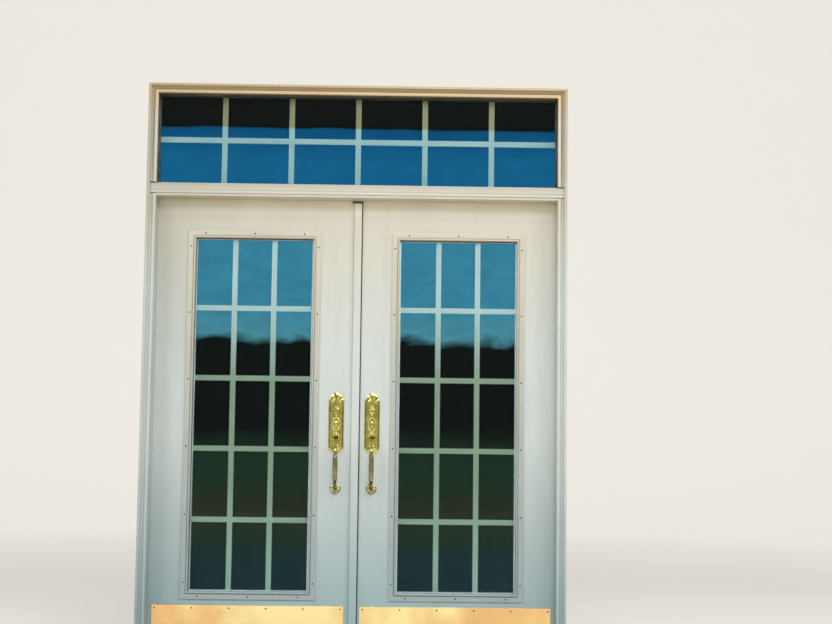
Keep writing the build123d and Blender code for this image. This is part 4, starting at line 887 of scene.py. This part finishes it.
def plate_ornaments(x, grip_z):
    """Thumb piece boss, oval rope ring with a cabochon in it, and the grip's socket."""
    boss = eased([
        (1, 11.2, 0), (6.6, 11.2, 0.5, 0.5), (7.5, 12.6, 0.8), (7.5, 15, 0.8), (6, 16.2, 0.5, 0.5),
        (4.2, 17, 0, 0.9), (1, 17, 0),
    ])
    rope = eased([
        (4, 13.6, 0, 0.8), (6.6, 14.4, 0.6, 0.2, 0.5), (7.4, 16, 0.7, 0, 0.9),
        (6.6, 17.6, 0.6, 0.2, 0.5), (4, 18.4, 0, 0.8),
    ])
    cabochon = eased([
        (7.6, 0, 0), (7.2, 4.5, 1.5), (5.4, 7.5, 0.8, 0.3, 0.9), (4.4, 9, 0, 1), (4, 9.2, 0, 1),
        (4, 0, 0),
    ])
    socket = eased([
        (1, 6.4, 0), (1, 13, 0), (5, 13, 0.8, 0.7), (7.2, 11.5, 1.0), (8.6, 8.8, 0.6, 0.5),
        (9.6, 8, 0.4), (9.6, 6.4, 0),
    ])
    oval_place = (x, LEAF_LOW.y, (THUMB_PIVOT[2] + CYLINDER_Z) / 2)
    return [
        turned(boss, (x, LEAF_LOW.y, THUMB_PIVOT[2]), 48),
        turned(rope, oval_place, 144, 36, oval=1.89),
        turned(cabochon, oval_place, 72, 12, oval=1.89),
        turned(socket, (x, LEAF_LOW.y, grip_z), 40),
    ]


def grip_patches(x, settings):
    """Bent rod, fluted barrel between ringed collars, and petalled rosette."""
    rod = settings.rod / MM
    b = settings.barrel / MM
    r = settings.rosette / MM
    face = LEAF_LOW.y / MM
    stand_off, under_barrel, over_barrel = 52, 37.5, 36
    axis_y = face - stand_off
    top, bottom = GRIP_HIGH.z / MM - rod, GRIP_LOW.z / MM + r
    low, high = bottom + under_barrel, top - over_barrel
    span = high - low
    bend = settings.elbow / MM
    # Painted shade on the grip's lower straight and bend, the neck above the rosette.
    path = eased([
        (face - 2, top, 0), (axis_y, top, bend, 0.1), (axis_y, bottom + bend + 5, 0, 1),
        (axis_y, bottom, bend - 1, 0.75), (face - 1, bottom, 0, 0.2),
    ], 12)
    end = [
        (0, 0, 0), (0, 8, 0.5, 0.6), (1.5, b + 1.2, 1), (5, b + 1.2, 0.7), (5.8, b - 1.2, 0.5, 1),
        (7, b + 1.2, 0.8), (10, b + 1.2, 0.8), (11.4, b - 0.8, 0.5, 1), (14, b, 1.2, 0, 0.9),
    ]
    barrel = eased([
        *end, (span / 2, b + 1.8, 30, 0, 0.9), *[(span - h, *rest) for h, *rest in end[::-1]],
    ])
    rosette = eased([
        (0.2, 0, 0), (0.2, r, 0), (2.8, r, 1), (4.2, r - 2, 0.8), (3.6, r - 3.6, 0.6, 1),
        (4.8, r - 5, 0.6, 0.2, 0.3), (6.6, 17, 2, 0, 1.6), (7.2, 12, 1.2, 0, 1.2),
        (6.6, 10.4, 0.5, 0.9), (7.8, 9.2, 0.5), (8, 7.6, 0.3, 0.6), (8, 0, 0),
    ])
    return [
        bent_rod(path, settings.rod, x),
        turned(barrel, (x, axis_y * MM, low * MM), 60, 15, axis=UP, lean=(0, 1)),
        turned(rosette, (x, LEAF_LOW.y, bottom * MM), 72, 12),
    ]


def casing_outlines(m):
    """Section of the casing, its neck beside the mull cover, and the floor of the open joint."""
    lip, scoop = m.casing_lip / MM, m.casing_scoop / MM
    width, thick = (LEG_HIGH.x - LEG_LOW.x) / MM, -LEG_LOW.y / MM
    bead = width - m.casing_bead / MM
    outer = [
        (bead, 26, 0.7, 0.3), (bead + 0.8, thick, 3.5, 0.3), (width, thick, 5, 0.4),
        (width, 0, 0, 0.4),
    ]
    # Hollow values lay painted shade in the scoop and along the back edges.
    section = eased([
        (0, 0, 0, 1), (0, 6, 0, 0.6), (0, lip - 1.5, 4), (13.5, lip, 2.5), (15, scoop, 1, 1),
        (19.5, scoop + 0.5, 3, 0.95), (bead - 4, scoop + 3, 2.5, 0.45), (bead - 1, 25, 0.5, 0.3),
        *outer,
    ])
    neck = eased([(bead - 2, 0, 0), (bead - 2, 25, 0.5, 0.5), *outer])
    # The open joint's floor is drawn wholly in painted shade.
    gap_floor_shade = eased([(0.5, 0, 0, 1), (0.5, 8, 0, 1), (bead, 8, 0, 1), (bead, 0, 0, 1)])
    return section, neck, gap_floor_shade


def mull_outlines(m):
    """Sections of the mull cover's beaded lower strip and of its fluted upper band."""
    proud = -MULL_LOW.y / MM
    flute = proud - m.flute / MM
    # Hollow values lay painted shade under the lip, in the flute and along the back edges.
    lower = eased([
        (0, 0, 0), (0, proud - 2.8, 1.2), (3, proud, 2.5), (9.5, proud, 2.5),
        (11, proud - 3, 0.8, 0.7), (16, proud - 3, 0, 0.7), (16, 0, 0),
    ])
    line = MULL_BAND * 0.3
    upper = eased([
        (0, 0, 0, 0.3), (0, proud, 1.5), (line - 3.4, proud, 1.2), (line - 1.8, flute, 1, 0.25),
        (line + 1.8, flute, 1, 0.25), (line + 3.4, proud, 1.2), (MULL_BAND, proud, 1.5, 0.6),
        (MULL_BAND, 0, 0, 0.6),
    ])
    return lower, upper


def lite_outline(m, depth):
    """Section of a lite frame, from its edge on the leaf to its lip, and back down to the pane."""
    lap = 19.3
    band, flange, top = m.lite_band / MM, m.flange / MM, m.bead_height / MM
    gap = m.groove / MM
    foot = band - m.bead_width / MM - gap
    # Hollow values lay painted shade along the outer edge, in the groove and down to the pane.
    return eased([
        (0, 0, 0, 0.5), (0, flange, 1.2), (foot, flange, 0.5),
        (foot + 0.4 * gap, flange - 1.8, 0.5, 1), (foot + gap, flange - 1.8, 0.5, 1),
        (foot + gap + 1.5, top - 1, 2.5), (band - 3.5, top, 3), (band, top - 5, 3),
        (band, depth, 0, 1), (lap, depth, 0), (lap, 0, 0),
    ])


def spacer_outline(deep):
    """Section of a spacer, clear of both panes and creased along the middle of its face."""
    gap = 0.3
    far = deep - gap
    return eased([
        (0, -gap, 0), (12, -gap, 0.8), (12, 1 - far / 2, 0.5), (11.4, -far / 2, 0.4, 1),
        (12, -far / 2 - 1, 0.5), (12, -far, 0.8), (0, -far, 0),
    ])


# Pieces

class FRONTDOOR_OT_frame(Operator):
    """Paint the jambs, their edges eased, and finish the sill, its cap and the seals"""
    bl_idname = "front_door.frame"
    bl_label = "Door frame"

    def execute(self, context):
        c = context.scene.front_door_colours
        ease = context.scene.front_door_mouldings.ease
        upright = brushed_paint("brushed_gloss_paint_upright", (1, 1, 40))
        level = brushed_paint("brushed_gloss_paint_level", (40, 1, 1))
        shaded_rabbet_paint = brushed_paint("brushed_gloss_paint_sooty", (1, 1, 8), 0.8)
        for node, paint in (
            ("left_jamb", upright), ("right_jamb", upright), ("transom_side_jambs", shaded_rabbet_paint),
            ("transom_head_jamb", shaded_rabbet_paint), ("head_jamb", level), ("transom_sill_jamb", level),
            ("transom_stops", level),
        ):
            ease_cad(node, ease, "frame", paint)
        sill = worn_metal("mill_aluminium_sill", c.sill, 0.4, (60, 1, 1))
        ease_cad("sill", 0.5 * MM, "frame", sill)
        finish_with(soft_plastic("moulded_sill_cap", c.cap, 0.5, 400.0), "sill_cap")
        foam = soft_plastic("foam_and_vinyl_seal", c.rubber, 0.75, 700.0)
        finish_with(foam, "door_weatherstrip", "inactive_sweep", "active_sweep")
        return {"FINISHED"}


class FRONTDOOR_OT_casing(Operator):
    """Make the casing legs and head, mitred, and the fluted cover over the transom's joint"""
    bl_idname = "front_door.casing"
    bl_label = "Casing and mull cover"

    def execute(self, context):
        m = context.scene.front_door_mouldings
        upright = bpy.data.materials["brushed_gloss_paint_upright"]
        level = bpy.data.materials["brushed_gloss_paint_level"]
        section, neck, gap_floor_shade = casing_outlines(m)
        low, high = MULL_HIGH.z - MULL_BAND * MM, MULL_HIGH.z
        for side, name in ((-1, "left"), (1, "right")):
            ways = ((side, 0, 0), OUT, UP)
            place = (side * LEG_LOW.x, 0, 0)
            inset = (side * (LEG_LOW.x - HAIR), HAIR, 0)
            make_piece(
                f"casing_{name}_moulding",
                [
                    moulding(section, [(0, 0), (low - m.joint / 2, 0)], place, ways),
                    moulding(neck, [(low - 20 * MM, 0), (high + 20 * MM, 0)], inset, ways),
                    moulding(gap_floor_shade, [(low - 8 * MM, 0), (high + 8 * MM, 0)], inset, ways),
                    moulding(section, [(high + m.joint, 0), (HEAD_LOW.z, 1)], place, ways),
                ],
                upright, "frame", [f"casing_{name}"],
            )
        make_piece(
            "casing_head_moulding",
            [moulding(section, [(-LEG_LOW.x, -1), (LEG_LOW.x, 1)], (0, 0, HEAD_LOW.z), LEVEL)],
            level, "frame", ["casing_head"],
        )
        lower, upper = mull_outlines(m)
        make_piece(
            "mull_cover_moulding",
            [
                moulding(lower, [(-LEG_LOW.x, 0), (LEG_LOW.x, 0)], (0, 0, MULL_LOW.z), LEVEL),
                moulding(upper, [(MULL_LOW.x, 0), (MULL_HIGH.x, 0)], (0, 0, low), LEVEL),
            ],
            level, "frame", ["mull_cover"],
        )
        return {"FINISHED"}


class FRONTDOOR_OT_leaves(Operator):
    """Paint the door leaves and the astragal, their folded edges eased"""
    bl_idname = "front_door.leaves"
    bl_label = "Leaves and astragal"

    def execute(self, context):
        skin = rolled_paint("rolled_satin_paint")
        for leaf in LEAVES:
            ease_cad(f"{leaf}_leaf", 0.8 * MM, f"{leaf}_door", skin)
        ease_cad("astragal", 0.6 * MM, "inactive_door", skin)
        low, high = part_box("astragal_seal")
        edge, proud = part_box("astragal")[1].x, 5.5
        wide, thick = (edge - low.x) / MM + proud, (high.y - low.y) / MM
        fin = eased([
            (0, 0, 0), (0, thick, 0), (wide - 2, thick, 0.6), (wide, thick / 2, 0.6),
            (wide - 2, 0, 0.6),
        ])
        # A dark pad over the flange's top stands in for the shadow there: painted shadow.
        pad_end = wide + low.x / MM
        pad = eased([(-22, 0, 0), (-22, 11.5, 1), (pad_end, 11.5, 1), (pad_end, 0, 0)])
        top = high.z
        make_piece(
            "astragal_seal_fin",
            [
                moulding(fin, [(low.z, 0), (top - 0.2 * MM, 0)], (low.x, high.y, 0), STANDING),
                moulding(pad, [(top, 0), (top + 7.5 * MM, 0)], (0, high.y, 0), STANDING),
            ],
            bpy.data.materials["foam_and_vinyl_seal"], "inactive_door",
            ["astragal_seal"],
        )
        return {"FINISHED"}


class FRONTDOOR_OT_lites(Operator):
    """Make the moulded lite frames, strips of painted shadow above the panes, and spacers, and
    finish the glass and grilles
    """
    bl_idname = "front_door.lites"
    bl_label = "Lite frames and glass"

    def execute(self, context):
        c = context.scene.front_door_colours
        m = context.scene.front_door_mouldings
        self.make_frames(m, moulded_plastic())
        self.make_painted_shadow(m, soft_plastic("butyl_glazing_compound", c.compound, 0.6, 400.0))
        lites, transom = (GLASS_LOW, GLASS_HIGH), (TRANSOM_LOW, TRANSOM_HIGH)
        # Painted reflection of sky and trees in the inner panes, in bands by height.
        glass = glass_with_painted_reflection("low_e_float_glass", lites, [
            (0.0, c.glass_foot), (0.08, c.glass_foot), (0.16, c.glass_green),
            (0.23, c.glass_earth), (0.31, c.glass_green), (0.38, c.glass_green),
            (0.46, c.glass_dark), (0.7, c.glass_dark), (0.725, c.glass_pale),
            (0.82, c.glass_top), (1.0, c.glass_top),
        ], 0.07)
        finish_with(glass, "inactive_lite_glass", "active_lite_glass")
        spacer = worn_metal("mill_aluminium_spacer", c.spacer, 0.45)
        # Painted shade on the transom's spacer.
        shaded_spacer_metal = worn_metal("mill_aluminium_spacer_dull", c.spacer_shaded, 0.6)
        for node, body, metal in (
            ("inactive_lite_spacer", "inactive_door", spacer),
            ("active_lite_spacer", "active_door", spacer), ("transom_spacer", "frame", shaded_spacer_metal),
        ):
            low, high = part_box(node)
            outline = spacer_outline((high.y - low.y) / MM)
            make_piece(
                node + "_section", [round_frame(outline, (low, high), low.y, -1, 0.5 * MM)],
                metal, body, [node],
            )
        # Painted reflection and shade on the lites' bars, by height.
        bars = coil_paint("coil_painted_grille", lites, [
            (0.06, c.bar_foot), (0.32, c.bar_low), (0.6, c.bar_low), (0.8, c.bar_head),
        ])
        finish_with(bars, "inactive_lite_grille", "active_lite_grille")
        # Painted shade over the transom's upper bars.
        upper_bars = coil_paint("coil_painted_transom_grille", transom, [
            (0.0, c.bar_transom), (0.63, c.bar_transom), (0.66, c.bar_shaded_head),
        ])
        finish_with(upper_bars, "transom_grille")
        # Painted reflection in the transom pane: blue below, dark above.
        upper = glass_with_painted_reflection("low_e_float_glass_transom", transom, [
            (0.0, c.transom_blue), (0.3, c.transom_blue), (0.64, c.transom_deep),
            (0.66, c.transom_dark), (1.0, c.transom_dark),
        ], 0.012)
        finish_with(upper, "transom_glass")
        return {"FINISHED"}

    def make_frames(self, m, plastic):
        """Lite frames on both faces of both leaves, each lapping the leaf and the sealed unit."""
        for leaf in LEAVES:
            for face, out, base, unit in (
                ("outside", -1, LEAF_LOW.y, GLASS_LOW.y), ("inside", 1, LEAF_HIGH.y, GLASS_HIGH.y),
            ):
                node = f"{leaf}_lite_frame_{face}"
                outline = lite_outline(m, -abs(unit - base) / MM)
                make_piece(
                    node + "_moulding", [round_frame(outline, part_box(node), base, out, 4 * MM)],
                    plastic, f"{leaf}_door", [node],
                )

    def make_painted_shadow(self, m, compound):
        """Dark strip of painted shadow along the head of each pane, just inside the lite frame,
        and down the hinge side of the left one."""
        height = m.compound / MM
        strip = eased([(0, 0, 0), (0, 1.2, 0.4), (height, 1.2, 0), (height, 0, 0)])
        edge = eased([(0, 0, 0), (0, 1.2, 0), (2.5, 1.2, 0.4), (2.5, 0, 0)])
        face = GLASS_LOW.y - HAIR
        for leaf in LEAVES:
            low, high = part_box(f"{leaf}_lite_frame_outside")
            left, right = low.x + m.lite_band, high.x - m.lite_band
            line = high.z - m.lite_band - m.compound
            patches = [moulding(strip, [(left, 0), (right, 0)], (0, face, line), LEVEL)]
            if leaf == "inactive":
                ends = [(low.z + m.lite_band, 0), (line - HAIR, 0)]
                patches.append(moulding(edge, ends, (left, face, 0), STANDING))
            make_piece(
                f"{leaf}_lite_painted_shadow", patches, compound, f"{leaf}_door"
            )


class FRONTDOOR_OT_fixings(Operator):
    """Make the kick plates and the cross-head screws, and finish the hinges"""
    bl_idname = "front_door.fixings"
    bl_label = "Kick plates, screws and hinges"

    def execute(self, context):
        c = context.scene.front_door_colours
        radius = context.scene.front_door_hardware.screw
        face = LEAF_LOW.y - context.scene.front_door_mouldings.flange
        cast = polished_brass("polished_cast_brass_indoor", c.brass_indoors)
        rolled = polished_brass("polished_rolled_brass", c.sheet_brass, True)
        screw = worn_metal("oxidised_steel_screws", c.screw, 0.5)
        sheet = eased([(0, 0, 0), (0, 1.3, 0.5), (2, 1.3, 0)])
        plate_inset, frame_inset = 13.7 * MM, 12.5 * MM
        first_across, first_up = 78.1 * MM, 73.7 * MM
        for leaf in LEAVES:
            body = f"{leaf}_door"
            low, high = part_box(f"{leaf}_kick_plate")
            make_piece(
                f"{leaf}_kick_plate_sheet",
                [round_frame(sheet, (low, high), LEAF_LOW.y, -1, 2.1 * MM, filled=True)],
                rolled, body, [f"{leaf}_kick_plate"],
            )
            columns = np.linspace(low.x + plate_inset, high.x - plate_inset, 6)
            rows = (low.z + plate_inset, high.z - plate_inset)
            make_piece(
                f"{leaf}_kick_plate_screws", screw_rows(radius, low.y, columns, rows), screw, body,
                [f"{leaf}_kick_screws"],
            )
            low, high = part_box(f"{leaf}_lite_frame_outside")
            columns = np.linspace(low.x + first_across, high.x - first_across, 3)
            rows = np.linspace(low.z + first_up, high.z - first_up, 6)
            make_piece(
                f"{leaf}_lite_frame_screws",
                screw_rows(radius, face, columns, (low.z + frame_inset, high.z - frame_inset))
                + screw_rows(radius, face, (low.x + frame_inset, high.x - frame_inset), rows),
                screw, body, [f"{leaf}_lite_screws"],
            )
        finish_with(
            cast, "hinge_pins", "frame_hinge_leaves", "inactive_hinge_leaves",
            "active_hinge_leaves",
        )
        return {"FINISHED"}


class FRONTDOOR_OT_handlesets(Operator):
    """Make the cast plates, the grips with their rosettes and the cupped thumb pieces"""
    bl_idname = "front_door.handlesets"
    bl_label = "Handlesets"

    def execute(self, context):
        c = context.scene.front_door_colours
        h = context.scene.front_door_hardware
        cast = polished_brass("polished_cast_brass", c.brass)
        # A darker copy of the cast brass for the grips and rosettes: painted shade.
        grip_brass_shaded = polished_brass("polished_cast_brass_handled", c.brass_grips_shaded)
        for leaf, side in LEAVES.items():
            x = side * LOCK_X
            blank = leaf == "inactive"
            thumb = thumb_pad(x, 2 if blank else 14)
            make_piece(
                f"{leaf}_plate",
                [
                    plate_face(x, h), cylinder_collar(x, blank),
                    *plate_ornaments(x, GRIP_HIGH.z - h.rod), *([thumb] if blank else []),
                ],
                cast, f"{leaf}_door", [f"{leaf}_escutcheon"],
            )
            make_piece(
                f"{leaf}_grip_and_rosette", grip_patches(x, h), grip_brass_shaded, f"{leaf}_door",
                [f"{leaf}_grip"],
            )
            if not blank:
                make_piece(
                    "active_thumb_pad", [thumb], cast, "thumb_piece_body",
                    ["active_thumb_piece"],
                )
        finish_with(cast, "key_plug")
        return {"FINISHED"}


class FRONTDOOR_OT_locks(Operator):
    """Finish the indoor plates and knobs, the bolts and their strikes"""
    bl_idname = "front_door.locks"
    bl_label = "Indoor hardware and bolts"

    def execute(self, context):
        c = context.scene.front_door_colours
        cast = bpy.data.materials["polished_cast_brass_indoor"]
        for node, body in (
            ("active_inside_plate", "active_door"), ("active_inside_knob", "inside_knob_body"),
            ("thumb_turn", "thumb_turn_body"), ("inactive_inside_trim", "inactive_door"),
        ):
            ease_cad(node, 0.6 * MM, body, cast)
        finish_with(cast, "strike_plates", "latch_bolt", "deadbolt", "bolt_cases")
        steel = worn_metal("zinc_plated_steel", c.steel, 0.4)
        finish_with(steel, "flush_bolt_strikes", "top_flush_bolt", "bottom_flush_bolt")
        return {"FINISHED"}


class FRONTDOOR_OT_stage(Operator):
    """Hang the pale paper behind and under the door, the soft lamps and the camera"""
    bl_idname = "front_door.stage"
    bl_label = "Stage"

    def execute(self, context):
        s = context.scene.front_door_stage
        sweep = eased([(-16000, 0, 0), (15000, 0, 5000), (15000, 16000, 0)], 16)
        sides = np.array([[-22.0, 22.0]])
        sheet = surface(
            0.0, (0, 0, 0), (sweep[:, :1] + 0 * sides, (0, 1, 0)), (sweep[:, 1:2] + 0 * sides, UP),
            (0 * sweep[:, :1] + sides, RIGHT), wrap_columns=False, capped=False,
        )
        make_piece("studio_paper", [sheet], studio_paper(), None)
        self.hang_lamps(context.scene, s)
        self.set_surroundings(context.scene, s)
        self.set_camera(context.scene, s)
        context.scene.view_settings.view_transform = "Standard"
        return {"FINISHED"}

    def hang_lamps(self, scene, s):
        """Large soft lamps, so high that none is seen through the glass."""
        for name, place, aim, size, power in (
            ("key_lamp", (0.9, -5.0, 5.4), (0, 0, 1.2), 3.0, s.key),
            ("left_lamp", (-4.2, -4.2, 4.0), (0, 0, 0.6), 2.5, s.fill),
            ("right_lamp", (4.4, -3.8, 4.4), (0, 0, 1.2), 2.5, s.fill),
            ("back_lamp", (0.0, 3.9, 5.2), (0, 0, 5.2), 3.0, s.fill),
        ):
            lamp = bpy.data.lights.new(name, "AREA")
            lamp.size = size
            lamp.energy = power
            holder = bpy.data.objects.new(name, lamp)
            holder.location = place
            towards = Vector(aim) - Vector(place)
            holder.rotation_euler = towards.to_track_quat("-Z", "Y").to_euler()
            scene.collection.objects.link(holder)

    def set_surroundings(self, scene, s):
        """Plain air that lights the door coolly and is as pale as the paper where it is seen."""
        world = bpy.data.worlds.new("plain_surroundings")
        world.use_nodes = True
        cool_air, paper = (0.93, 0.96, 1.0, 1.0), scene.front_door_colours.paper
        seen = add_node(world, "LightPath", out="Is Camera Ray")
        feed(
            world, "Background", Color=covered(world, cool_air, paper, seen),
            Strength=add_node(world, "MapRange", Value=seen, To_Min=s.ambient, To_Max=1.0),
        )
        scene.world = world

    def set_camera(self, scene, s):
        """Camera on its place, turned by its yaw, pitch and roll."""
        forward = Vector((-sin(s.yaw) * cos(s.pitch), cos(s.yaw) * cos(s.pitch), sin(s.pitch)))
        level = Vector((cos(s.yaw), sin(s.yaw), 0))
        upright = level.cross(forward)
        right = level * cos(s.roll) + upright * sin(s.roll)
        up = upright * cos(s.roll) - level * sin(s.roll)
        camera = bpy.data.objects.new("camera", bpy.data.cameras.new("camera"))
        camera.data.lens = s.lens
        camera.data.sensor_fit = "HORIZONTAL"
        turn = Matrix((right, up, -forward)).transposed().to_4x4()
        camera.matrix_world = Matrix.Translation(Vector(s.camera)) @ turn
        scene.collection.objects.link(camera)
        scene.camera = camera


class FRONTDOOR_PT_panel(Panel):
    """Pieces of the front door, in the order in which they are made"""
    bl_idname = "FRONTDOOR_PT_panel"
    bl_label = "Front Door"
    bl_space_type = "VIEW_3D"
    bl_region_type = "UI"
    bl_category = "Front Door"

    def draw(self, context):
        for operator in OPERATORS:
            self.layout.operator(operator.bl_idname)


OPERATORS = (
    FRONTDOOR_OT_stage, FRONTDOOR_OT_frame, FRONTDOOR_OT_casing, FRONTDOOR_OT_leaves,
    FRONTDOOR_OT_lites, FRONTDOOR_OT_fixings, FRONTDOOR_OT_handlesets, FRONTDOOR_OT_locks,
)
SETTINGS = {
    "front_door_colours": FrontDoorColours,
    "front_door_mouldings": FrontDoorMouldings,
    "front_door_hardware": FrontDoorHardware,
    "front_door_stage": FrontDoorStage,
}


def register():
    for kind in (*SETTINGS.values(), *OPERATORS, FRONTDOOR_PT_panel):
        bpy.utils.register_class(kind)
    for name, group in SETTINGS.items():
        setattr(bpy.types.Scene, name, PointerProperty(type=group))


def unregister():
    for name in SETTINGS:
        delattr(bpy.types.Scene, name)
    for kind in (FRONTDOOR_PT_panel, *reversed(OPERATORS), *reversed(SETTINGS.values())):
        bpy.utils.unregister_class(kind)


def main():
    """Register the add-on and make every piece."""
    register()
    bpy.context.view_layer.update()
    bpy.ops.front_door.stage()
    bpy.ops.front_door.frame()
    bpy.ops.front_door.casing()
    bpy.ops.front_door.leaves()
    bpy.ops.front_door.lites()
    bpy.ops.front_door.fixings()
    bpy.ops.front_door.handlesets()
    bpy.ops.front_door.locks()


if __name__ == "__main__":
    main()
